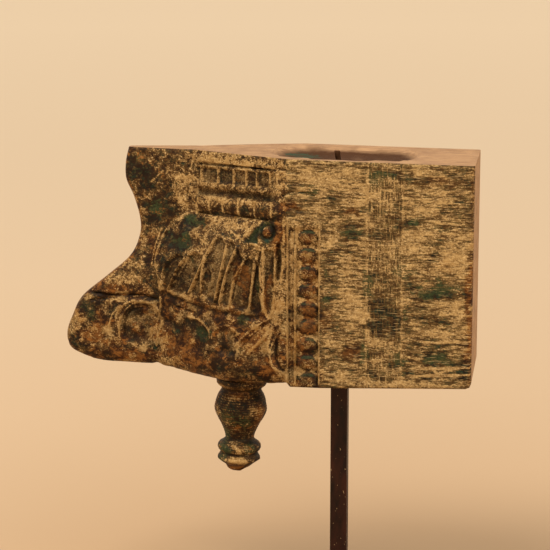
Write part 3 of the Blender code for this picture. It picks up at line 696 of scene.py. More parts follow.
# %% Seeded noise
def noise(u, v, size, seed, octaves=3):
    """Smooth lumps of one size in mm, from about -1 to 1, with finer ones over them."""
    table = np.random.default_rng(seed).uniform(-1.0, 1.0, (64, 64))
    total = np.zeros(np.shape(u))
    share = 1.0
    for octave in range(octaves):
        a = np.asarray(u) / size * 2**octave + 17.3 * octave
        b = np.asarray(v) / size * 2**octave + 5.7 * octave
        i = np.floor(a).astype(int)
        j = np.floor(b).astype(int)
        a = a - i
        b = b - j
        a = a * a * (3 - 2 * a)
        b = b * b * (3 - 2 * b)
        near = table[i % 64, j % 64] * (1 - a) + table[(i + 1) % 64, j % 64] * a
        far = table[i % 64, (j + 1) % 64] * (1 - a) + table[(i + 1) % 64, (j + 1) % 64] * a
        total = total + share * (near * (1 - b) + far * b)
        share = 0.5 * share
    return total


print("noise spread:", round(float(noise(np.arange(500.0), np.arange(500.0), 9.0, 1).std()), 2))

# %% Fine lines of the carving
FINE_RIDGES = (
    ((-165.1, 108.0), (-159.4, 118.0), (-152.5, 121.5), (-147.0, 119.0)),
    ((-141.4, 125.0), (-149.0, 112.0), (-157.1, 98.0)),
    ((-121.3, 119.0), (-125.5, 108.7), (-120.0, 99.5), (-115.2, 106.0), (-117.9, 116.6)),
    ((-113.3, 133.7), (-110.7, 139.9), (-106.7, 139.3)),
    ((-84.1, 125.9), (-89.9, 108.0), (-93.0, 91.2)),
    ((-72.4, 126.1), (-75.3, 108.5), (-78.3, 86.7)),
    ((-70.4, 97.0), (-64.8, 80.2)),
    ((-88.5, 144.9), (-75.1, 160.3)),
    ((-97.4, 152.9), (-84.7, 147.0), (-70.5, 143.0)),
    ((-170.5, 148.6), (-176.4, 132.5), (-180.2, 112.6)),
    ((-165.4, 147.4), (-172.1, 131.1), (-176.2, 112.0)),
    ((-211.9, 40.4), (-212.3, 55.2), (-204.9, 69.4), (-194.7, 75.9), (-176.0, 75.4)),
    ((-222.5, 50.8), (-219.4, 62.8), (-211.4, 72.3)),
    ((-170.6, 82.5), (-170.0, 74.8), (-176.6, 51.9)),
    ((-66.7, 74.3), (-91.2, 56.4)),
    ((-45.6, 70.3), (-52.9, 57.8), (-58.8, 44.1), (-56.8, 29.8), (-47.9, 21.6)),
    ((-154.2, 76.3), (-146.3, 80.6), (-136.6, 78.2), (-131.4, 73.2)),
)
FINE_GROOVES = (
    ((-162.0, 101.6), (-154.0, 109.0), (-149.8, 115.5)),
    ((-134.6, 123.0), (-135.7, 112.3)),
    ((-120.0, 115.0), (-119.5, 105.0)),
    ((-68.5, 136.0), (-70.5, 112.0), (-66.8, 100.0)),
    ((-207.9, 42.5), (-207.2, 56.3), (-200.7, 67.3), (-184.8, 71.5)),
    ((-63.0, 68.8), (-84.4, 48.0)),
    ((-51.6, 213.6), (-42.6, 212.5), (-31.7, 210.5)),
    ((-48.0, 189.0), (-39.0, 193.5), (-27.0, 192.5), (-18.0, 190.0)),
    ((-46.0, 181.0), (-36.0, 176.5), (-24.0, 175.5)),
    ((-48.0, 203.0), (-38.0, 201.0), (-26.0, 203.5)),
    ((-154.2, 76.3), (-143.3, 74.2), (-131.4, 73.2)),
    ((-239.9, 77.0), (-208.8, 80.3), (-180.1, 78.9)),
)
FINE_HOLLOWS = (
    (-153.5, 115.7, 3.6),
    (-158.2, 58.1, 8.0),
    (-124.1, 54.5, 9.0),
    (-104.0, 40.4, 7.0),
    (-86.4, 68.8, 6.0),
    (-192.0, 62.0, 9.0),
    (-144.0, 66.0, 5.0),
    (-112.0, 72.0, 4.5),
)
FINE_LUMPS = (
    (-94.0, 62.4, 5.0), (-136.0, 45.0, 7.0), (-176.0, 40.0, 8.0), (-196.0, 50.0, 6.0), (-99.0, 74.0, 4.0),
)
FINE_HALF = 1.7
FINE_HIGH = 1.1
FINE_GROOVE_DEEP = 1.65
FINE_HOLLOW_DEEP = 2.0
FINE_LUMP_HIGH = 1.5
print("fine lines:", len(FINE_RIDGES) + len(FINE_GROOVES))

# %% The whole relief, coarse and fine
CHISEL = 0.34
RIM_LOSS = 1.1


def fine_lines(x, z):
    """The finest ridges, grooves, hollows and lumps of the shown face."""
    height = np.zeros(x.shape)
    for points in FINE_RIDGES:
        height = np.maximum(height, FINE_HIGH * rib(x, z, points, FINE_HALF))
    for points in FINE_GROOVES:
        height = height - FINE_GROOVE_DEEP * rib(x, z, points, FINE_HALF)
    for place_x, place_z, size in FINE_HOLLOWS:
        height = height - FINE_HOLLOW_DEEP * hump(np.hypot(x - place_x, z - place_z), size)
    for place_x, place_z, size in FINE_LUMPS:
        height = height + FINE_LUMP_HIGH * hump(np.hypot(x - place_x, z - place_z), size)
    return height


def flow(x, z):
    """Fine streaks that run with the carving: up the tongue, down the petals, along the bulge."""
    low = smooth(90.0, 76.0, z)
    left = (1.0 - low) * smooth(-140.0, -156.0, x)
    total = np.zeros(x.shape)
    for degrees, part, seed in ((24.0, low, 131), (58.0, left, 132), (76.0, 1.0 - low - left, 133)):
        turn = math.radians(degrees)
        along = x * math.cos(turn) + z * math.sin(turn)
        across = z * math.cos(turn) - x * math.sin(turn)
        total = total + part * noise(0.14 * along, across, 3.4, seed, 2)
    return total


def planed_part(x, z):
    """1 on the plain planed wood: the beam, and the strip between it and the neck's rows."""
    return np.maximum(smooth(-16.0, -8.0, x), smooth(-47.0, -41.0, x) * smooth(158.0, 168.0, z))


def tool_marks(x, z, hidden):
    """Chisel facets on the carved part, and long planing waves on the beam."""
    seed = 40 if hidden else 20
    carved = (1.0 - planed_part(x, z)) * (1.0 - 0.6 * band(x, LADDER_X[0], LADDER_X[1], 1.0))
    facets = CHISEL * noise(x, z, 7.0, seed) + 0.16 * noise(x, z, 2.6, seed + 1) + 0.14 * flow(x, z)
    planed = 0.16 * noise(0.16 * x, z, 3.2, seed + 2) + 0.12 * noise(x, z, 24.0, seed + 3)
    return carved * facets + (1.0 - carved) * planed


def relief(x, z, hidden):
    """Height of the carving over the plain form. The hidden face is plainer."""
    height = neck_rows(x, z) + bell_petals(x, z) + fillets(x, z)
    if hidden:
        height = HIDDEN_SHARE * height
    else:
        height = height + shoulder(x, z) + beside_fillets(x, z) + lotus_petals(x, z) + fine_lines(x, z)
    rim = np.minimum(z - underside_z(x), nearest(x, z, curve_through(TONGUE_PROFILE))[0])
    height = height * smooth(*RIM_FADE, rim) * smooth(*TOP_FADE, top_z(x) - z)
    rim = np.minimum(rim, np.minimum(END_X - x, top_z(x) - z))
    height = height + tool_marks(x, z, hidden) * smooth(0.3, 3.0, rim)
    worn = np.clip(noise(x, z, 9.0, 61) - 0.15, 0.0, 1.0) * hump(rim, 4.5) * smooth(0.0, 0.8, rim)
    return height - RIM_LOSS * worn


# %% [markdown]
# ## Two carved faces
# The face is a grid with level rows, and its columns follow the tongue's profile, so the worn edge
# has points where it curves. A remesh would spread them evenly and blur the ribs. Each point moves
# out along the plain form's normal by its height. The hidden face is plainer, and mirrored.

# %% The face's grid
COLUMNS = (208, 26, 38)
ROWS = 150
# Where the rings of points lie between the two faces, up to the middle.
RINGS = (0.006, 0.03, 0.08, 0.14, 0.21, 0.28, 0.35, 0.42, 0.5)


def face_grid():
    """x and z of the face's grid, with level rows and columns that follow the tongue's profile."""
    down = np.linspace(0.0, 1.0, ROWS + 1)[None, :]
    start_z = TONGUE_PROFILE[0][1]
    left_z = start_z + down * (TONGUE_PROFILE[-1][1] - start_z)
    left_x = edge_x(left_z)
    part = np.linspace(0.0, 1.0, COLUMNS[0] + 1)[:, None]
    x = left_x + part * (BELL_RIGHT_X - left_x)
    right_z = top_z(BELL_RIGHT_X) + down * (underside_z(BELL_RIGHT_X) - top_z(BELL_RIGHT_X))
    z = left_z + part * (right_z - left_z)
    z = z + (top_z(x[:, :1]) - z[:, :1]) * (1.0 - down) ** 4
    z = z + (underside_z(x[:, -1:]) - z[:, -1:]) * down**4
    ladder = np.linspace(BELL_RIGHT_X, LADDER_RIGHT_X, COLUMNS[1] + 1)[1:, None] + 0.0 * down
    beam = np.linspace(LADDER_RIGHT_X, END_X - BEAM_EDGE, COLUMNS[2] + 1)[1:, None] + 0.0 * down
    right = np.vstack([ladder, beam, END_X + 0.0 * down])
    right_rows = top_z(right) + down * (underside_z(right) - top_z(right))
    return np.vstack([x, right]), np.vstack([z, right_rows])


grid_x, grid_z = face_grid()
print("points a face:", grid_x.size)

# %% Both carved faces
def carved_face(x, z, hidden):
    """Points of one carved face, moved out along the plain form's normals, and their heights."""
    plain = np.stack([x, -(half_thickness(x, z) - worn_away(x, z)), z], axis=2)
    normal = np.cross(np.gradient(plain, axis=1), np.gradient(plain, axis=0))
    normal = normal / np.maximum(np.linalg.norm(normal, axis=2, keepdims=True), 1e-9)
    normal = normal * -np.sign(normal[..., 1:2])
    height = relief(x, z, hidden)
    carved = plain + normal * height[..., None]
    if hidden:
        carved = carved * np.array((1.0, -1.0, 1.0))
    return carved, height


front, front_height = carved_face(grid_x, grid_z, False)
rear, rear_height = carved_face(grid_x, grid_z, True)
print("relief in mm:", round(float(front_height.min()), 1), "to", round(float(front_height.max()), 1))

# %% [markdown]
# ## The hollow in the top
# The beam that sat here, or years of later use, left a shallow hollow in the sawn top: a rounded
# rectangle with steep sides and a flat floor. A boolean with a rounded block would cut it too. A
# formula is used, because the same shares then say where the wood is darkened by oil and by painted
# shade. A rim of points joins the two faces over the top, the end, the underside and the tongue's
# edge into one closed skin.

# %% The sawn top
SAW_WAVE = 0.25


def hollow_share(x, y):
    """How deep a place lies in the hollow: 0 outside it and 1 on its floor."""
    part = abs((x - SCOOP_X) / SCOOP_HALF_LONG) ** SCOOP_SQUARE + abs(y / SCOOP_HALF_WIDE) ** SCOOP_SQUARE
    return np.clip(1.0 - part, 0.0, 1.0) ** SCOOP_WALL


def scooped(points):
    """The hollow and the saw's waves, drawn into the top."""
    x, y, z = points[..., 0], points[..., 1], points[..., 2]
    lowered = z - SCOOP_DEEP * hollow_share(x, y)
    lowered = lowered - SAW_WAVE * (1.0 + noise(x, 3.0 * y, 18.0, 71))
    return np.stack([x, y, lowered], axis=-1)


middle_x = np.array([SCOOP_X])
print("hollow at its middle:", float(hollow_share(middle_x, 0.0)[0]))

# %% One closed skin
def rim_of(across, down):
    """Grid places round the rim: along the top, down the end, back along the foot and up."""
    places = [(column, 0) for column in range(across)]
    places = places + [(across - 1, row) for row in range(1, down)]
    places = places + [(column, down - 1) for column in range(across - 2, -1, -1)]
    return np.array(places + [(0, row) for row in range(down - 2, 0, -1)])


across, down = grid_x.shape
rim = rim_of(across, down)
parts = list(RINGS) + [1.0 - part for part in RINGS[-2::-1]]
rings = []
for part in parts:
    points = (1.0 - part) * front[rim[:, 0], rim[:, 1]] + part * rear[rim[:, 0], rim[:, 1]]
    if 0.01 < part < 0.99:
        points[:across] = scooped(points[:across])
    rings.append(points)
skin = np.vstack([front.reshape(-1, 3), rear.reshape(-1, 3)] + rings) + (0.0, 0.0, BLOCK_LIFT)
skin[:, 2] = np.minimum(skin[:, 2], TOP_LINE[0][1] + BLOCK_LIFT - 0.02)
print("points in the skin:", len(skin))

# %% Its faces
corner = (np.arange(across - 1)[:, None] * down + np.arange(down - 1)[None, :]).ravel()
count = across * down
quads = [
    np.stack([corner, corner + 1, corner + down + 1, corner + down], axis=1),
    count + np.stack([corner, corner + down, corner + down + 1, corner + 1], axis=1),
]
levels = [rim[:, 0] * down + rim[:, 1]]
levels += [2 * count + ring * len(rim) + np.arange(len(rim)) for ring in range(len(parts))]
levels += [count + rim[:, 0] * down + rim[:, 1]]
for near, far in zip(levels[:-1], levels[1:]):
    quads.append(np.stack([near, np.roll(near, -1), np.roll(far, -1), far], axis=1))
quads = np.vstack(quads)
block_mesh = bpy.data.meshes.new("carved_block_skin")
block_mesh.from_pydata((skin * MM).tolist(), [], quads.tolist())
block_mesh.update()
print("triangles:", 2 * len(quads))

# %% [markdown]
# ## Where the paint is worn
# The wood was painted dark, then pale, and both coats have been rubbed away. What is left follows
# the carving: pale on ridges, bare wood where hands went, and dark in hollows, from grime and
# painted shade together. The cushions and the ladder's tongues get painted light and shade as well.
# These shares are worked out from the heights and from where the patches lie, and are stored on the
# mesh as numbers that the material reads. A painted image could hold them too, but numbers on the
# mesh stay sharp and small.

# %% Places of pale paint, green paint and bare wood
def spots(x, z, places):
    """Soft patches: each is x, z, half length, half height and strength."""
    total = np.zeros(x.shape)
    for place_x, place_z, long, tall, strength in places:
        away = np.hypot((x - place_x) / long, (z - place_z) / tall)
        total = total + strength * smooth(1.5, 0.2, away)
    return total


PALE_SPOTS = (
    (75, 155, 14, 9, 0.3), (90, 184, 24, 10, 0.25), (21, 84, 7, 22, 0.35), (112, 91, 12, 4, 0.45),
    (86, 108, 15, 5, 0.3), (100, 63, 18, 6, 0.3), (43, 53, 17, 4, 0.35), (112, 138, 14, 13, 0.35),
    (56, 144, 14, 8, 0.25), (60, 17, 60, 4.5, 0.3), (88, 31, 30, 1.4, 0.7), (92, 23, 30, 1.4, 0.7),
    (96, 57, 24, 1.0, 0.7), (12, 205, 45, 9, 0.25), (5, 120, 12, 10, 0.25), (40, 190, 18, 18, 0.2),
    (-150, 190, 9, 22, 0.4), (-174, 187, 5, 6, 0.45), (-198, 182, 8, 30, 0.25), (-188, 150, 8, 26, 0.25),
    (-215, 99, 26, 4, 0.5), (-196, 110, 10, 14, 0.25), (-110, 216, 60, 4, 0.45), (-104, 134, 7, 9, 0.35),
    (-130, 92, 30, 4, 0.2), (31.5, 70, 1.2, 26, 0.6), (-118, 108, 34, 22, 0.14), (-195, 58, 12, 12, 0.16),
    (-99, 66, 8, 9, 0.35), (-64, 26, 6, 8, 0.3), (-38, 160, 5, 30, 0.2), (-20, 190, 14, 14, 0.15),
    (-181, 40, 14, 8, 0.3),
)
DARK_SPOTS = (
    (98, 101, 25, 11, 0.5), (97, 76, 16, 7, 0.5), (46, 75, 17, 20, 0.34), (18, 45, 10, 9, 0.4),
    (100, 18, 26, 1.6, 0.4), (17, 175, 10, 4, 0.4), (20, 158, 15, 9, 0.34), (70, 166, 14, 6, 0.3),
    (98, 176, 16, 4, 0.36), (48, 212, 20, 6, 0.36), (96, 41, 26, 8, 0.3), (0, 120, 9, 30, 0.16),
    (-195, 205, 26, 18, 0.35), (-175, 165, 16, 20, 0.3), (-196, 122, 5, 8, 0.4), (-190, 58, 9, 8, 0.12),
    (-158, 57, 9, 12, 0.4), (-124, 50, 11, 14, 0.55), (-112, 46, 30, 22, 0.26), (-235, 70, 16, 14, 0.2),
    (-150, 140, 16, 9, 0.5), (-136, 158, 13, 6, 0.5), (-85, 28, 30, 12, 0.4), (-78, 70, 8, 5, 0.3),
    (-75, 149, 4.5, 6.5, 0.6), (-182, 190, 30, 34, 0.14), (115, 200, 14, 12, 0.15), (75, 196, 10, 6, 0.2),
)
GREEN_SPOTS = (
    (38, 208, 14, 5, 1.0), (37, 203, 7, 10, 0.8), (75, 170, 7, 5, 1.0), (67, 121, 8, 7, 1.2),
    (94, 106, 26, 9, 0.85), (33, 112, 3.5, 20, 0.9), (68, 82, 4, 20, 0.9), (30, 45, 4, 16, 0.9),
    (-17, 196, 8, 5, 1.0), (-8, 118, 4, 8, 1.0), (-7, 94, 5, 7, 0.9), (20, 158, 14, 8, 0.6),
    (97, 40, 20, 6, 0.8), (62, 37, 4, 14, 0.9), (97, 163, 10, 5, 0.7), (95, 184, 16, 3, 0.5),
    (-76, 150, 5, 8, 0.7), (-135, 118, 3, 7, 1.2), (-70, 104, 4, 10, 1.1), (-150, 140, 14, 8, 0.8),
    (-136, 158, 14, 6, 0.8), (-123, 55, 9, 9, 0.9), (-88, 70, 8, 6, 0.9), (-62, 30, 6, 8, 0.8),
    (-195, 205, 20, 14, 0.4), (-174, 168, 10, 12, 0.6), (-110, 203, 26, 6, 0.6), (-243, 66, 12, 12, 0.6),
    (-92, 186, 40, 4, 0.4), (-14, 60, 4, 50, 0.5),
)
BARE_SPOTS = (
    (125, 110, 3.5, 26, 1.3), (125, 60, 4, 24, 1.3), (-42, 180, 10, 6, 0.9), (-4, 74, 9, 15, 0.5),
    (18, 45, 9, 9, 0.7), (17, 175, 9, 4, 0.6), (-86, 108, 5.5, 18, 1.1), (-61.5, 155.5, 4.5, 4.5, 1.8),
    (-60, 98, 3, 16, 0.9), (-237, 43, 16, 9, 1.0), (-140, 40, 20, 12, 0.9), (-166, 50, 8, 16, 0.8),
    (-140, 26, 24, 8, 0.7), (-64, 26, 6, 10, 1.0), (-52, 145, 3, 14, 0.7), (-193, 48, 7, 8, 0.7),
    (-204, 24, 30, 6, 0.9), (-75, 54, 12, 9, 0.7), (-24, 100, 5, 60, 0.5), (-48, 160, 4, 14, 0.6),
    (100, 206, 24, 5, 0.4), (105, 130, 10, 7, 0.3), (-180, 128, 4, 20, 0.4), (-225, 90, 18, 5, 0.4),
)
# Scored lines where paint stayed: three long ones low on the beam, and one across the tongue.
PALE_LINES = (
    ((80.4, 55.8), (126.5, 57.7)), ((87.2, 31.4), (126.5, 33.0)), ((70.7, 23.6), (126.5, 26.3)),
    ((-180.5, 192.3), (-168.3, 203.4)),
)
LINE_HALF = 1.7
LINE_BED_HALF = 7.0
print("patches:", len(PALE_SPOTS) + len(DARK_SPOTS) + len(GREEN_SPOTS) + len(BARE_SPOTS))

# %% The shares on each face
BAND_X = (31.0, 64.0)
TONGUE_MID_X = -24.0
TONGUE_HALF_X = 8.6


def tongue_round(x, z):
    """How far a place lies from the middle of the nearest tongue (1 is its outline), and how high."""
    row = np.clip(np.round((LADDER_TOP_Z - z) / LADDER_PITCH), 0, LADDER_COUNT - 1)
    up = (z - (LADDER_TOP_Z - LADDER_PITCH * row)) / LADDER_HALF_TALL
    return np.hypot((x - TONGUE_MID_X) / TONGUE_HALF_X, up), up


def at_ribs(x, places, half):
    """1 on the upright ribs of a row, 0 between them."""
    return np.max([hump(abs(x - place), half) for place in places], axis=0)


def in_box(x, z, left, right, low, high):
    """1 in an upright box of the face, with softly stepped sides."""
    return band(x, left, right, 0.8) * band(z, low, high, 0.6)


def softened(values, times=4):
    """The grid's values with the smallest forms smoothed away."""
    for _ in range(times):
        wide = np.pad(values, 1, mode="edge")
        across = 0.25 * wide[:-2, 1:-1] + 0.5 * wide[1:-1, 1:-1] + 0.25 * wide[2:, 1:-1]
        wide = np.pad(across, 1, mode="edge")
        values = 0.25 * wide[1:-1, :-2] + 0.5 * wide[1:-1, 1:-1] + 0.25 * wide[1:-1, 2:]
    return values


def shares(x, z, height, hidden):
    """Shares of pale paint, green paint, bare wood, grime with painted shade, streaks and crossed
    scratches; the pale and green shares also carry painted light and shade on the cushions and tongues.
    """
    beam = planed_part(x, z)
    # What stands proud of its surroundings or lies under them, and the parts of the carving.
    proud = (height - softened(height)) * (0.8 + 0.7 * noise(x, z, 11.0, 103))
    ridge = smooth(0.5, 1.4, height)
    hollow = smooth(-0.6, -2.8, height)
    nose = smooth(100.0, 80.0, z) * (1.0 - beam)
    tongue = smooth(-134.0, -152.0, x) * (1.0 - nose)
    bell = (1.0 - beam) * (1.0 - nose) * (1.0 - tongue)
    # Pale paint by part, then more of it on ridges and crests, and less in hollows, where the dark ground
    # stands partly for painted shade.
    pale = 0.43 + 0.06 * beam - 0.1 * tongue + 0.04 * nose + 0.12 * bell
    pale = pale + 0.12 * ridge * (1.0 - beam) - 0.1 * hollow * (1.0 - 0.8 * bell)
    crest = smooth(0.1, 0.5, proud) * smooth(-0.2, 0.9, height)
    pale = pale + ((0.26 + 0.2 * nose) * crest - 0.18 * smooth(-0.06, -0.4, proud)) * (1.0 - 0.6 * beam)
    pale = pale + 0.13 * flow(x, z) * (1.0 - beam)
    # The patches are moved about by noise, so that none keeps a round outline.
    far_x = x + 5.0 * noise(x, z, 14.0, 101)
    far_z = z + 3.5 * noise(x, z, 9.0, 102)
    if hidden:
        green = 0.5 * noise(x, 2.0 * z, 40.0, 111)
        bare = 0.4 * noise(x, z, 34.0, 112)
        pale = pale + 0.12 * noise(0.5 * x, z, 22.0, 113)
    else:
        green = spots(far_x, far_z, GREEN_SPOTS)
        bare = spots(far_x, far_z, BARE_SPOTS) + 0.45 * nose + 0.3 * bell + 0.25 * tongue
        bare = bare + 0.4 * nose * noise(x, z, 11.0, 105)
        pale = pale + nose * (0.04 + 0.34 * noise(x, z, 8.0, 104))
        pale = pale + np.max([rib(x, z, points, LINE_HALF) for points in PALE_LINES], axis=0)
        pale = pale - 0.32 * np.max([rib(x, z, points, LINE_BED_HALF) for points in PALE_LINES], axis=0)
        pale = pale + 0.24 * smooth(0.5, 1.0, fine_lines(x, z))
        pale = pale + 0.75 * (spots(far_x, far_z, PALE_SPOTS) - spots(far_x, far_z, DARK_SPOTS))
    # Green and bare places have lost most of the pale coat, and the boss and triangle are dark green.
    pale = pale - 0.2 * np.clip(green, 0.0, 1.0) - 0.28 * np.clip(bare, 0.0, 1.0)
    if not hidden:
        around = np.hypot(x - ROUND_BOSS[0], 0.8 * (z - ROUND_BOSS[1]))
        ring = hump(abs(around - ROUND_BOSS_R), 3.4)
        corner = sunk(x, z, TRIANGLE, 2.0)
        pale = pale - 0.55 * ring - 0.5 * corner
        green = green + 0.5 * ring + 0.5 * corner
        bare = bare - 0.5 * ring - 0.4 * corner
    # Paint stayed on the ribs of both rows. The cushions are darker, with painted light on their upper
    # parts and painted shade below.
    low, high = CUSHION_Z
    cushions = in_box(x, z, CUSHION_RIBS[0], CUSHION_RIBS[-1], low - 1.0, high)
    cushion_painted_light = smooth(low + 5.0, high - 1.0, z)
    pale = pale + cushions * (0.45 * at_ribs(x, CUSHION_RIBS, 2.0) - 0.44 + 0.3 * cushion_painted_light)
    dentils = in_box(x, z, NECK_LEFT_X[0], NECK_RIGHT_X[1], *DENTIL_Z)
    pale = pale + dentils * (0.3 * at_ribs(x, DENTIL_RIBS, 2.2) + 0.08)
    # The ladder's tongues: a pale bed, a dark line of painted shade round each, a rubbed middle, and
    # painted shadow in dark green over each upper part.
    past, up = tongue_round(x, z)
    ladder = in_box(x, z, LADDER_X[0] - 2.0, LADDER_X[1] + 2.0, 13.0, 159.0)
    shaded = smooth(0.35, 0.75, up) * smooth(1.15, 0.95, past)
    pale = pale + ladder * (0.2 * smooth(1.05, 1.3, past) - 0.3 * hump(past - 1.0, 0.2) + 0.2)
    pale = pale + ladder * (0.2 * smooth(0.95, 0.5, past) - 0.5 * shaded)
    bare = bare + ladder * 0.35 * smooth(1.0, 0.7, past) * (1.0 - shaded)
    green = green + ladder * 0.9 * shaded
    channel = in_box(x, z, FILLET_X[0] + 1.5, FILLET_X[1] - 1.5, 10.0, CHANNEL_TOP_Z[0])
    pale = pale + 0.3 * channel
    # Bare wood along the rim. Dirt and painted shade in the hollows, in the scotia under the dentils and
    # round the tongues, and in patches on the nose.
    rim_line = np.minimum(nearest(x, z, curve_through(TONGUE_PROFILE))[0], END_X - x)
    bare = bare + 0.5 * hump(np.clip(rim_line, 0.0, None), 6.0)
    scotia = hump(abs(z - 188.0), 5.0) * smooth(-40.0, -60.0, x) * smooth(-136.0, -130.0, x)
    dirt_and_shade = hollow * (1.0 - ladder - channel) + 0.5 * scotia + 0.5 * ladder * hump(past - 1.0, 0.14)
    dirt_and_shade = np.clip(dirt_and_shade, 0.0, 1.0)
    dirt_and_shade = np.clip(dirt_and_shade + nose * (0.2 + 0.9 * np.clip(noise(x, z, 6.5, 106), 0.0, 1.0)), 0.0, 1.2)
    crossed = band(x, BAND_X[0], BAND_X[1], 0.8)
    return {"pale": pale, "green": green, "bare": bare, "dirt_and_shade": dirt_and_shade, "streak": beam, "crossed": crossed}


face_shares = [shares(grid_x, grid_z, front_height, False), shares(grid_x, grid_z, rear_height, True)]
print("kinds of share:", sorted(face_shares[0]))

# %% The shares on the rim: sawn top and end, dark underside, worn tongue
def store(mesh, name, values):
    """Keeps one value for each point on a mesh, where a material can read it."""
    layer = mesh.attributes.new(name, "FLOAT", "POINT")
    layer.data.foreach_set("value", values.astype(np.float32))


ring_shares = {name: [] for name in (*face_shares[0], "sawn", "stain_and_shade")}
top_part = np.arange(len(rim)) < across
end_part = (np.arange(len(rim)) >= across - 1) & (np.arange(len(rim)) < across + down - 1)
foot_part = (np.arange(len(rim)) >= across + down - 1) & (np.arange(len(rim)) < 2 * across + down - 2)
for points in rings:
    x, y = points[:, 0], points[:, 1]
    # A spill of green paint lies on the sawn top.
    spill = np.exp(-(((x + 38.0) / 17.0) ** 2 + ((y - 8.0) / 16.0) ** 2)) * 1.2
    ring_shares["pale"].append(np.where(foot_part, 0.36, 0.5) + 0.1 * noise(x, y, 20.0, 81))
    ring_shares["green"].append(np.where(top_part, spill, 0.2))
    ring_shares["bare"].append(np.where(foot_part, 0.5, 0.75))
    ring_shares["dirt_and_shade"].append(np.where(foot_part, 0.3, 0.0))
    ring_shares["streak"].append(smooth(-16.0, -8.0, x))
    ring_shares["crossed"].append(np.zeros(len(x)))
    ring_shares["sawn"].append(np.where(top_part | end_part, 1.0, 0.0))
    # The hollow in the top is darker: oil from handling, and painted shade.
    ring_shares["stain_and_shade"].append(smooth(0.1, 0.75, hollow_share(x, y) * top_part))
for name, made in ring_shares.items():
    empty = np.zeros(count)
    whole = [kind[name].ravel() if name in kind else empty for kind in face_shares]
    values = np.concatenate(whole + made)
    store(block_mesh, name, values)
    print(name, round(float(values.min()), 2), round(float(values.max()), 2))

# %% [markdown]
# ## Sockets for the rod and the pendant, and the slot in the top
# The rod stands in a square hole in the underside, and the pendant's round tenon in a hole of its
# own. A narrow slot also crosses the hollow's floor, a little out of square. It is found only here,
# and not in the solid. A hole could be left in the grid, but its sides would follow the grid's
# steps. Three cutters and a boolean give square sides, as a joiner's chisel does.

# %% Cut the sockets and the slot
SLOT_X = -2.6
SLOT_LEAN = 0.144
SLOT_HALF = 2.6
SLOT_DEEP = 4.0
SLOT_REACH = 37.0
SOCKET_GAP = 0.3
ROD_SIDE = 16.0
ROD_IN_BLOCK = 70.0
CUTTER_SPARE = 20.0
PENDANT_X = -95.2
TENON_R = 11.0
TENON_LONG = 28.0
LEAN_SPAN = (-120.0, -70.0)


def under_at(x):
    """Height of the block's underside over the floor, at one x."""
    return float(underside_z(np.array(x))) + BLOCK_LIFT


def pendant_frame():
    """Where the pendant meets the block, and its lean."""
    left, right = LEAN_SPAN
    slope = math.atan2(under_at(right) - under_at(left), right - left)
    return Vector((PENDANT_X * MM, 0.0, under_at(PENDANT_X) * MM)), -slope


def prism(name, outline, low, high):
    """An upright prism over an outline, in mm."""
    corners = [(x * MM, y * MM, z * MM) for z in (low, high) for x, y in outline]
    n = len(outline)
    sides = [(i, (i + 1) % n, n + (i + 1) % n, n + i) for i in range(n)]
    mesh = bpy.data.meshes.new(name)
    mesh.from_pydata(corners, [], sides + [tuple(range(n))[::-1], tuple(range(n, 2 * n))])
    return placed(name, mesh)


def cut_out(made, cutters, solver):
    """Cuts the cutters out of a piece, keeps the result as its mesh, and removes the cutters."""
    for cutter in cutters:
        cut = made.modifiers.new("Cut", "BOOLEAN")
        cut.operation = "DIFFERENCE"
        cut.solver = solver
        cut.object = cutter
    bpy.context.view_layer.update()
    whole = made.evaluated_get(bpy.context.evaluated_depsgraph_get())
    made.data = bpy.data.meshes.new_from_object(whole)
    made.modifiers.clear()
    for cutter in cutters:
        bpy.data.objects.remove(cutter)


def shade(mesh, degrees):
    """Smooth shading, with an edge kept where faces meet at more than an angle."""
    mesh.shade_smooth()
    mesh.set_sharp_from_angle(angle=math.radians(degrees))


block = placed("carved_block_skin", block_mesh)
rod_hole = square(0.5 * ROD_SIDE + SOCKET_GAP)
hole_r = TENON_R + SOCKET_GAP
turns = [math.pi * i / 32 for i in range(64)]
tenon_hole = [(hole_r * math.cos(turn), hole_r * math.sin(turn)) for turn in turns]
rod_foot = under_at(0.0)
rod_socket = prism("rod_socket", rod_hole, rod_foot - CUTTER_SPARE, rod_foot + ROD_IN_BLOCK + SOCKET_GAP)
tenon_socket = prism("tenon_socket", tenon_hole, -CUTTER_SPARE, TENON_LONG + 1.0)
tenon_socket.location, lean = pendant_frame()
tenon_socket.rotation_euler = (0.0, lean, 0.0)
slot_ends = ((-1, -1), (1, -1), (1, 1), (-1, 1))
slot_outline = [
    (SLOT_X + side * SLOT_HALF - SLOT_LEAN * end * SLOT_REACH, end * SLOT_REACH) for side, end in slot_ends
]
slot_floor = float(top_z(np.array(SLOT_X))) + BLOCK_LIFT - SCOOP_DEEP - SLOT_DEEP
slot = prism("slot_cutter", slot_outline, slot_floor, slot_floor + CUTTER_SPARE)
cut_out(block, (rod_socket, tenon_socket, slot), "MANIFOLD")
print("faces after cutting:", len(block.data.polygons))

# %% Sawn wood in the slot, darkened by oil and painted shade
# The cut gave the slot new points, and these get the shares of the hollow's floor, darkened by oil and
# painted shade.
points = np.empty(3 * len(block.data.vertices))
block.data.vertices.foreach_get("co", points)
x, y, z = points.reshape(-1, 3).T / MM
in_slot = abs(x + SLOT_LEAN * y - SLOT_X) < SLOT_HALF + 0.1
in_slot = in_slot & (abs(y) < SLOT_REACH + 0.1) & (z > slot_floor - 0.1)
for name in ("sawn", "stain_and_shade", "bare"):
    values = np.empty(len(x))
    block.data.attributes[name].data.foreach_get("value", values)
    values[in_slot] = 1.0
    block.data.attributes[name].data.foreach_set("value", values)
shade(block.data, 52.0)
block.data.calc_loop_triangles()
print("triangles after cutting:", len(block.data.loop_triangles))

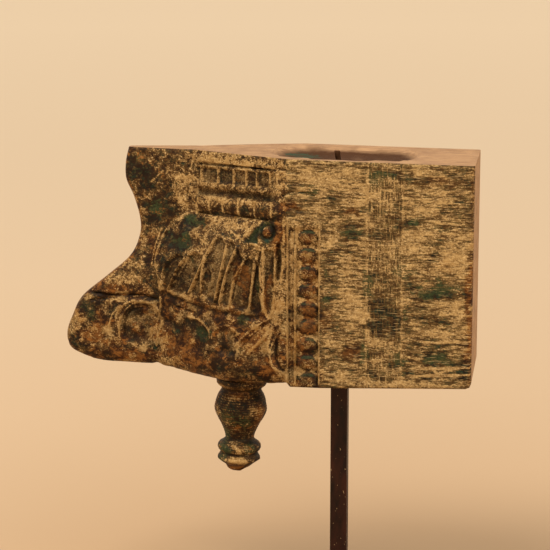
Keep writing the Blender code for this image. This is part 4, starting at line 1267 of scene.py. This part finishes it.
# %% [markdown]
# ## Worn paint over carved hardwood
# Distressed painted wood is oil paint over close-grained hardwood, rubbed through by hand: a dark
# ground coat, a pale coat over it, and wood where both are gone. To the eye it gives dull, broken
# colour with hard little edges, and almost no shine. Layers are mixed here in the order in which
# they were laid. Each layer's edge is the mesh's share with noise added, cut off sharply.

# %% Patterns in the paint
paint, tree = new_material("distressed_painted_wood")
place = add(tree, "TexCoord", output="Object")


def pattern(long, deep, tall, detail=4.0, rough=0.6, seed=0.0, swirl=0.0):
    """Noise from about -0.5 to 0.5, whose lumps are so many mm long along X, Y and Z."""
    scale = (1000.0 / long, 1000.0 / deep, 1000.0 / tall)
    sized = add(tree, "VectorMath", {0: place, 1: scale}, operation="MULTIPLY")
    moved = add(tree, "VectorMath", {0: sized, 1: (seed, 2 * seed, 3 * seed)}, operation="ADD")
    settings = {"Vector": moved, "Scale": 1.0, "Detail": detail, "Roughness": rough, "Distortion": swirl}
    lumps = add(tree, "TexNoise", settings)
    return add(tree, "Math", {0: lumps, 1: 0.5}, operation="SUBTRACT")


streaks = pattern(9.5, 8.0, 1.9, 5.0, 0.7)
specks = pattern(6.0, 6.0, 5.0, 5.0, 0.66, 3.0, 0.7)
flecks = pattern(6.5, 6.5, 4.5, 5.0, 0.7, 31.0, 0.6)
uprights = pattern(1.6, 6.0, 16.0, 4.0, 0.66, 7.0)
patches = pattern(22.0, 22.0, 12.0, 4.0, 0.6, 11.0)
grain = pattern(26.0, 3.0, 1.1, 4.0, 0.6, 15.0)
fine = pattern(1.5, 1.5, 1.3, 3.0, 0.7, 19.0)
scratches = pattern(9.0, 3.0, 0.7, 2.0, 0.5, 23.0)
named = ("pale", "green", "bare", "dirt_and_shade", "streak", "crossed", "sawn", "stain_and_shade")
share = {name: add(tree, "Attribute", output=2, attribute_name=name) for name in named}
print("shares read from the mesh:", len(share))

# %% [markdown]
# The pale coat wore in long dry streaks on the beam, where cloths ran along the grain, and in flakes
# on the carving. A band on the beam was also scrubbed up and down. The share that the mesh carries
# and three sizes of noise are added up, and a cutoff over the sum says how much of a coat is left.

# %% How much of each coat is left
crossed = add(tree, "Math", {0: streaks, 1: uprights}, operation="MAXIMUM")
crossed = add(tree, "Math", {0: crossed, 1: 0.08}, operation="SUBTRACT")
finer = add(tree, "Math", {0: fine, 1: 0.35, 2: specks}, operation="MULTIPLY_ADD")
wear = add(tree, "Mix", {0: share["streak"], 2: finer, 3: streaks})
wear = add(tree, "Mix", {0: share["crossed"], 2: wear, 3: crossed})
# Paint piled up in a thin line along both edges of the scrubbed band, where the share is half.
piled = add(tree, "Math", {0: share["crossed"], 1: -1.0, 2: 1.0}, operation="MULTIPLY_ADD")
piled = add(tree, "Math", {0: piled, 1: share["crossed"]}, operation="MULTIPLY")
tone = share["pale"]
for noise_part, gain in ((wear, 2.3), (patches, 1.1), (fine, 0.8), (piled, 0.65)):
    tone = add(tree, "Math", {0: noise_part, 1: gain, 2: tone}, operation="MULTIPLY_ADD")
pale_cover = add(tree, "MapRange", {"Value": tone, "From Min": 0.42, "From Max": 0.62})
dust_cover = add(tree, "MapRange", {"Value": tone, "From Min": 0.02, "From Max": 0.5, "To Max": 0.72})
rubbed = add(tree, "Math", {0: share["bare"], 1: 0.6}, operation="MULTIPLY")
for noise_part, gain in ((flecks, 2.2), (patches, 1.2)):
    rubbed = add(tree, "Math", {0: noise_part, 1: gain, 2: rubbed}, operation="MULTIPLY_ADD")
bare_cover = add(tree, "MapRange", {"Value": rubbed, "From Min": 0.36, "From Max": 0.62})
leafy = share["green"]
for noise_part, gain in ((specks, 2.4), (patches, 1.0)):
    leafy = add(tree, "Math", {0: noise_part, 1: gain, 2: leafy}, operation="MULTIPLY_ADD")
green_cover = add(tree, "MapRange", {"Value": leafy, "From Min": 0.42, "From Max": 0.66})
print("covers: pale, dust, bare, green")

# %% [markdown]
# Next come the coats themselves, from the wood outward. Old oil paint is never one tone: the ground
# goes from black to brown and blue green, a film of pale dust lies in its pores, and the pale coat
# is cream where it is thick and olive brown where it is thin. Each coat could be a material of its
# own, but coats that lie over one another in one tree can show through each other's gaps.

# %% The coats, from the wood outward
fine_share, grain_share, fleck_share, patch_share = (
    add(tree, "MapRange", {"Value": lumps, "From Min": -reach, "From Max": reach})
    for lumps, reach in ((fine, 0.15), (grain, 0.15), (flecks, 0.12), (patches, 0.1))
)
# Bare hardwood, oiled by hands: a warm red brown, straight grained on the beam, mottled where carved.
figure = add(tree, "Mix", {0: share["streak"], 2: fleck_share, 3: grain_share})
wood = add(tree, "Mix", {0: figure, 6: linear("#341a09"), 7: linear("#865828")}, **COLOURS)
# The ground coat: nearly black, going brown in patches, with flecks of a cold blue green.
ground = add(tree, "Mix", {0: patch_share, 6: linear("#15110a"), 7: linear("#2e1e0e")}, **COLOURS)
cold = add(tree, "MapRange", {"Value": flecks, "From Min": -0.01, "From Max": 0.13})
ground = add(tree, "Mix", {0: cold, 6: ground, 7: linear("#1b3023")}, **COLOURS)
# Where the carving was rubbed most, wood oil and red brown earth got into every coat over it.
warm = add(tree, "MapRange", {"Value": share["bare"], "From Min": 0.05, "From Max": 0.9, "To Max": 0.85})
ground = add(tree, "Mix", {0: warm, 6: ground, 7: linear("#2d1507")}, **COLOURS)
# Leaf green, laid over the ground in places, dull and a little olive. On the ladder's tongues it is
# painted shadow.
leaf = add(tree, "Mix", {0: fine_share, 6: linear("#232a18"), 7: linear("#3d472a")}, **COLOURS)
ground = add(tree, "Mix", {0: green_cover, 6: ground, 7: leaf}, **COLOURS)
coat = add(tree, "Mix", {0: bare_cover, 6: ground, 7: wood}, **COLOURS)
# The film of dust and worn pale paint: it softens every edge between dark and pale.
dust = add(tree, "Mix", {0: fleck_share, 6: linear("#5c411e"), 7: linear("#83673a")}, **COLOURS)
dust = add(tree, "Mix", {0: warm, 6: dust, 7: linear("#693c13")}, **COLOURS)
dust_part = add(tree, "Math", {0: bare_cover, 1: -0.6, 2: 1.0}, operation="MULTIPLY_ADD")
dust_part = add(tree, "Math", {0: green_cover, 1: -0.4, 2: dust_part}, operation="MULTIPLY_ADD")
dust_part = add(tree, "Math", {0: dust_part, 1: dust_cover}, operation="MULTIPLY")
coat = add(tree, "Mix", {0: dust_part, 6: coat, 7: dust}, **COLOURS)
# The pale coat: olive tan to cream, with the finest flakes lighter still.
pale = add(tree, "Mix", {0: fleck_share, 6: linear("#755b35"), 7: linear("#b09260")}, **COLOURS)
pale = add(tree, "Mix", {0: warm, 6: pale, 7: linear("#9c743c")}, **COLOURS)
light = add(tree, "MapRange", {"Value": fine, "From Min": 0.02, "From Max": 0.25})
pale = add(tree, "Mix", {0: light, 6: pale, 7: linear("#d3b887")}, **COLOURS)
coat = add(tree, "Mix", {0: pale_cover, 6: coat, 7: pale}, **COLOURS)
# Dirt and painted shade in the hollows and creases, matt and nearly black.
dirt_and_shade_cover = add(tree, "MapRange", {"Value": specks, "From Min": -0.16, "From Max": 0.1, "To Max": 0.7})
dirt_and_shade_cover = add(tree, "Math", {0: dirt_and_shade_cover, 1: share["dirt_and_shade"]}, operation="MULTIPLY")
coat = add(tree, "Mix", {0: dirt_and_shade_cover, 6: coat, 7: linear("#151009")}, **COLOURS)
# Dry scratches along the beam's grain, a little lighter than the pale coat.
scored = add(tree, "MapRange", {"Value": scratches, "From Min": 0.12, "From Max": 0.17})
scored = add(tree, "Math", {0: scored, 1: share["streak"]}, operation="MULTIPLY")
scored = add(tree, "Math", {0: scored, 1: 0.5}, operation="MULTIPLY")
coat = add(tree, "Mix", {0: scored, 6: coat, 7: linear("#c8ac7a")}, **COLOURS)
print("coats: wood, ground, green, dust, pale, dirt, scratches")

# %% [markdown]
# The top and the end were sawn and never painted. Sawn hardwood that has aged indoors is a flat
# greyish tan with a fine grain. The hollow in the top is darker, partly from oil and handling and
# partly as painted shade.

# %% The sawn wood of the top and the end
sawn_wood = add(tree, "Mix", {0: grain_share, 6: linear("#97765a"), 7: linear("#ba9670")}, **COLOURS)
grey = add(tree, "MapRange", {"Value": patches, "From Min": -0.05, "From Max": 0.2, "To Max": 0.45})
sawn_wood = add(tree, "Mix", {0: grey, 6: sawn_wood, 7: linear("#7c5f47")}, **COLOURS)
# The hollow's floor and the slot go darker: oil from handling, and painted shade.
stain_and_shade_cover = add(tree, "Math", {0: patches, 1: 0.8, 2: share["stain_and_shade"]}, operation="MULTIPLY_ADD")
stain_and_shade_cover = add(tree, "MapRange", {"Value": stain_and_shade_cover, "From Min": 0.1, "From Max": 0.95})
sawn_wood = add(tree, "Mix", {0: stain_and_shade_cover, 6: sawn_wood, 7: linear("#4a2f1b")}, **COLOURS)
spilt = add(tree, "Math", {0: green_cover, 1: fleck_share}, operation="MULTIPLY")
sawn_wood = add(tree, "Mix", {0: spilt, 6: sawn_wood, 7: linear("#2f4a38")}, **COLOURS)
surface = add(tree, "Mix", {0: share["sawn"], 6: coat, 7: sawn_wood}, **COLOURS)
print("sawn wood ready")

# %% [markdown]
# Worn oil paint is dull, but the dark coats still shine a little more than the pale one, and sawn
# wood shines least. The edge of the pale coat stands up by a few hundredths of a millimetre, and a
# bump shows that better than more points would.

# %% Its shine and its fine height
rough = add(tree, "Mix", {0: pale_cover, 2: 0.54, 3: 0.7})
rough = add(tree, "Mix", {0: share["sawn"], 2: rough, 3: 0.78})
lift = add(tree, "Math", {0: pale_cover, 1: 0.5, 2: wear}, operation="MULTIPLY_ADD")
lift = add(tree, "Math", {0: grain, 1: 0.5, 2: lift}, operation="MULTIPLY_ADD")
bump = add(tree, "Bump", {"Strength": 0.7, "Distance": 0.0006, "Height": lift})
skin_shader = add(tree, "BsdfPrincipled", {
    "Base Color": surface, "Roughness": rough, "Normal": bump, "IOR": 1.46, "Specular IOR Level": 0.14,
})
add(tree, "OutputMaterial", {"Surface": skin_shader})
block.data.materials.clear()
block.data.materials.append(paint)
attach(block, "root")
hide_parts("carved_block")
print("nodes in the paint:", len(tree.nodes))

# %% [markdown]
# ## The pendant
# The pendant is a turned baluster: a collar, a vase, two rings and a blunt cone, with a tenon that
# sits in the block. A lathe turns a profile about an axis, and a Screw modifier would do the same.
# The rings of points are made directly here, so that every point can also carry its wear: the
# turning is slightly out of round, and its edges are dented.

# %% Its profile
PENDANT_TURNING = (
    (0.0, 17.0), (4.0, 24.3), (7.5, 25.0), (11.0, 24.0), (14.3, 20.2), (17.0, 20.0),
    (21.5, 22.6), (26.0, 24.2), (31.5, 25.4), (35.0, 25.7), (39.0, 25.0), (44.5, 22.8),
    (50.0, 19.6), (55.5, 16.9), (60.5, 15.0), (64.8, 14.4), (67.3, 16.2), (70.0, 19.8),
    (73.2, 21.4), (76.3, 20.4), (79.2, 18.4), (84.8, 21.2), (88.0, 18.4), (91.2, 13.9),
    (94.5, 11.8), (96.6, 9.0), (97.2, 4.0),
)
PENDANT_STEPS = 144
PENDANT_LEVELS = 150
pendant_long = PENDANT_TURNING[-1][0]
fine_depth = np.linspace(0.0, pendant_long, PENDANT_LEVELS)
line = curve_through(PENDANT_TURNING, 12)
fine_radius = np.interp(fine_depth, line[:, 0], line[:, 1])
print("pendant long in mm:", pendant_long)

# %% Turn it
DENT_HIGH = 0.35
TOOL_PITCH = 2.3
TOOL_WAVE = 0.12
MEAN_R = 20.0
# The turning is drawn in a little, so that dents and waves stay inside the solid.
DRAWN_IN = 0.985
DRAWN_IN_MM = 0.25
angle = np.linspace(0.0, 2 * math.pi, PENDANT_STEPS, endpoint=False)[None, :]
deep = fine_depth[:, None] + 0.0 * angle
radius = fine_radius[:, None] + 0.0 * angle
arc = angle * MEAN_R
seam = 0.5 - 0.5 * np.cos(angle)
dents = DENT_HIGH * noise(deep, arc, 9.0, 91) * seam
dents = dents + DENT_HIGH * noise(deep, arc + 300.0, 9.0, 92) * (1.0 - seam)
waves = TOOL_WAVE * np.sin(2 * math.pi * deep / TOOL_PITCH)
radius = radius * DRAWN_IN - DRAWN_IN_MM + np.minimum(dents + waves, 0.4)
radius = radius - 0.5 * np.clip(dents, -1.0, -0.25)
stem = np.array([(TENON_LONG, TENON_R - 1.0), (TENON_LONG - 1.0, TENON_R), (-SOCKET_GAP, TENON_R)])
print("dents in mm:", round(float(dents.min()), 2), "to", round(float(dents.max()), 2))

# %% A chip out of the last ring
CHIP_DEPTH = 88.5
CHIP_OUT = 15.2
CHIP_NEAR = 6.0
CHIP_FROM = 79.0
tilt = math.radians(38.0)
turn = math.radians(20.0)
px = radius * np.cos(angle)
py = radius * np.sin(angle)
pz = -SOCKET_GAP - deep
facing = np.array((math.sin(tilt) * math.cos(turn), -math.sin(tilt) * math.sin(turn), -math.cos(tilt)))
over = (px - CHIP_OUT) * facing[0] + (py + CHIP_NEAR) * facing[1] + (pz + CHIP_DEPTH) * facing[2]
over = np.clip(over, 0.0, None) * (deep > CHIP_FROM)
px = px - over * facing[0]
py = py - over * facing[1]
pz = pz - over * facing[2]
print("chip deep in mm:", round(float(over.max()), 1))

# %% Its closed mesh
stem_r = stem[:, 1][:, None] + 0.0 * angle
sx = np.vstack([stem_r * np.cos(angle), px])
sy = np.vstack([stem_r * np.sin(angle), py])
sz = np.vstack([stem[:, 0][:, None] + 0.0 * angle, pz])
levels_count = len(sx)
ends = [(0.0, 0.0, TENON_LONG), (0.0, 0.0, float(pz[-1].mean()))]
turned_points = np.vstack([np.stack([sx, sy, sz], axis=2).reshape(-1, 3), ends])
step = np.arange(PENDANT_STEPS)
after = (step + 1) % PENDANT_STEPS
faces = []
for level in range(levels_count - 1):
    a, b = level * PENDANT_STEPS, (level + 1) * PENDANT_STEPS
    faces += np.stack([a + step, b + step, b + after, a + after], axis=1).tolist()
last = (levels_count - 1) * PENDANT_STEPS
top_point = levels_count * PENDANT_STEPS
faces += [(top_point, int(i), int(j)) for i, j in zip(step, after)]
faces += [(top_point + 1, int(last + j), int(last + i)) for i, j in zip(step, after)]
pendant_mesh = bpy.data.meshes.new("turned_pendant")
pendant_mesh.from_pydata((turned_points * MM).tolist(), [], faces)
pendant_mesh.update()
pendant_mesh.shade_smooth()
pendant = placed("turned_pendant", pendant_mesh)
pendant.location, lean = pendant_frame()
pendant.rotation_euler = (0.0, lean, 0.0)
print("faces in the pendant:", len(faces))

# %% Where its paint is worn
front_side = 1.5 * math.pi
place_angle = np.degrees((angle - front_side + math.pi) % (2 * math.pi) - math.pi) + 0.0 * deep
PENDANT_PALE = (
    (-4, 84, 24, 4, 1.1), (18, 84, 14, 4, 0.8), (8, 74, 14, 4, 0.8), (-10, 68, 24, 4, 0.7),
    (-60, 36, 18, 12, 0.4), (52, 34, 22, 9, 0.55), (-4, 20, 26, 4, 0.3), (-30, 48, 24, 6, 0.3),
    (-50, 12, 30, 3, 0.3), (30, 58, 20, 4, 0.2), (170, 40, 30, 12, 0.3), (140, 84, 30, 4, 0.5),
    (-140, 72, 30, 4, 0.4),
)
PENDANT_BARE = (
    (60, 38, 16, 12, 0.9), (-76, 26, 20, 12, 0.6), (-8, 52, 16, 5, 0.7),
    (0, 18, 30, 4, 0.5), (0, 93, 200, 5, 0.6),
)
PENDANT_GREEN = (
    (-40, 74, 30, 6, 1.0), (-50, 84, 24, 4, 0.9), (-20, 42, 40, 14, 0.6), (30, 46, 20, 10, 0.5),
    (40, 72, 20, 6, 0.8), (-60, 60, 30, 8, 0.8),
)
edge = np.gradient(np.gradient(radius, axis=0), axis=0)
worn_edge = smooth(0.0, -0.12, edge)
pendant_shares = {
    "pale": 0.22 * worn_edge + 0.8 * spots(place_angle, deep, PENDANT_PALE),
    "green": spots(place_angle, deep, PENDANT_GREEN) + 0.1,
    "bare": 0.3 + spots(place_angle, deep, PENDANT_BARE) + 0.1 * worn_edge,
    # Dirt and painted shade in the turning's grooves.
    "dirt_and_shade": smooth(0.0, 0.12, edge) * 0.8,
}
pendant_shares.update({name: 0.0 * deep for name in ("streak", "crossed", "sawn", "stain_and_shade")})
for name, values in pendant_shares.items():
    tenon = np.full(3 * PENDANT_STEPS, values[0, 0])
    store(pendant_mesh, name, np.concatenate([tenon, values.ravel(), [values[0, 0], values[-1, 0]]]))
pendant_mesh.materials.append(paint)
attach(pendant, "root")
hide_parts("pendant_finial")
print("shares on the pendant:", sorted(pendant_shares))

# %% [markdown]
# ## The steel stand
# The rod is square mild steel bar, and the foot is steel plate. Both were blackened in hot oil and
# waxed, which leaves a dark brown-black skin with a low shine, chipped here and there. A scaled cube
# would do for either. A prism over an outline is used, because it also makes the plate's round
# corners and its seat. A small bevel follows, because a sharp edge catches no light.

# %% Blackened steel
steel, tree = new_material("blackened_steel")
place = add(tree, "TexCoord", output="Object")
blotch = pattern(14.0, 14.0, 40.0, 4.0, 0.6, 2.0)
drawn = pattern(0.9, 0.9, 30.0, 3.0, 0.6, 5.0)
chips = pattern(4.0, 4.0, 5.5, 3.0, 0.6, 9.0)
blotch_share = add(tree, "MapRange", {"Value": blotch, "From Min": -0.15, "From Max": 0.15})
# Oil-blacked skin: brown black, a little redder where the oil lay thin.
skin_colour = add(tree, "Mix", {0: blotch_share, 6: linear("#170a05"), 7: linear("#371a0d")}, **COLOURS)
# Chips down to pale dust and bright metal.
chip_cover = add(tree, "MapRange", {"Value": chips, "From Min": 0.155, "From Max": 0.175})
height_up = add(tree, "SeparateXYZ", {"Vector": place}, "Z")
above_plate = add(tree, "MapRange", {"Value": height_up, "From Min": 0.02, "From Max": 0.05})
chip_cover = add(tree, "Math", {0: chip_cover, 1: above_plate}, operation="MULTIPLY")
skin_colour = add(tree, "Mix", {0: chip_cover, 6: skin_colour, 7: linear("#a08560")}, **COLOURS)
steel_rough = add(tree, "Mix", {0: blotch_share, 2: 0.4, 3: 0.6})
steel_height = add(tree, "Math", {0: drawn, 1: 0.3}, operation="MULTIPLY")
steel_height = add(tree, "Math", {0: steel_height, 1: chip_cover}, operation="SUBTRACT")
steel_bump = add(tree, "Bump", {"Strength": 0.4, "Distance": 0.0003, "Height": steel_height})
steel_shader = add(tree, "BsdfPrincipled", {
    "Base Color": skin_colour, "Metallic": 0.15, "Roughness": steel_rough, "Normal": steel_bump,
    "Specular IOR Level": 0.2,
})
add(tree, "OutputMaterial", {"Surface": steel_shader})
print("nodes in the steel:", len(tree.nodes))

# %% The rod
FOOT_THICK = 10.0
SEAT_DEEP = 6.0
ROD_EASE = 0.9
FOOT_EASE = 1.2
rod_low = FOOT_THICK - SEAT_DEEP + SOCKET_GAP
rod_high = under_at(0.0) + ROD_IN_BLOCK
rod = prism("square_rod", square(0.5 * ROD_SIDE), rod_low, rod_high)
ease = rod.modifiers.new("Ease", "BEVEL")
ease.width = ROD_EASE * MM
ease.segments = 3
ease.harden_normals = True
rod.data.materials.append(steel)
shade(rod.data, 30.0)
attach(rod, "root")
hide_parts("stand_rod")
print("rod in mm:", round(rod_high - rod_low, 1))

# %% The foot plate
FOOT_SIDE = 200.0
FOOT_CORNER_R = 8.0
FOOT_CORNER_STEPS = 8
inner = 0.5 * FOOT_SIDE - FOOT_CORNER_R
outline = []
for quarter, (cx, cy) in enumerate(((inner, inner), (-inner, inner), (-inner, -inner), (inner, -inner))):
    for step_at in range(FOOT_CORNER_STEPS + 1):
        turn_at = 0.5 * math.pi * (quarter + step_at / FOOT_CORNER_STEPS)
        outline.append((cx + FOOT_CORNER_R * math.cos(turn_at), cy + FOOT_CORNER_R * math.sin(turn_at)))
foot = prism("plate_foot", outline, 0.0, FOOT_THICK)
seat = prism("rod_seat", rod_hole, FOOT_THICK - SEAT_DEEP, 2 * FOOT_THICK)
ease = foot.modifiers.new("Ease", "BEVEL")
ease.width = FOOT_EASE * MM
ease.segments = 3
ease.angle_limit = math.radians(40.0)
ease.limit_method = "ANGLE"
cut_out(foot, (seat,), "EXACT")
foot.data.materials.clear()
foot.data.materials.append(steel)
shade(foot.data, 30.0)
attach(foot, "root")
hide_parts("foot_plate")
print("plate in mm:", [round(1000 * v, 1) for v in foot.dimensions])
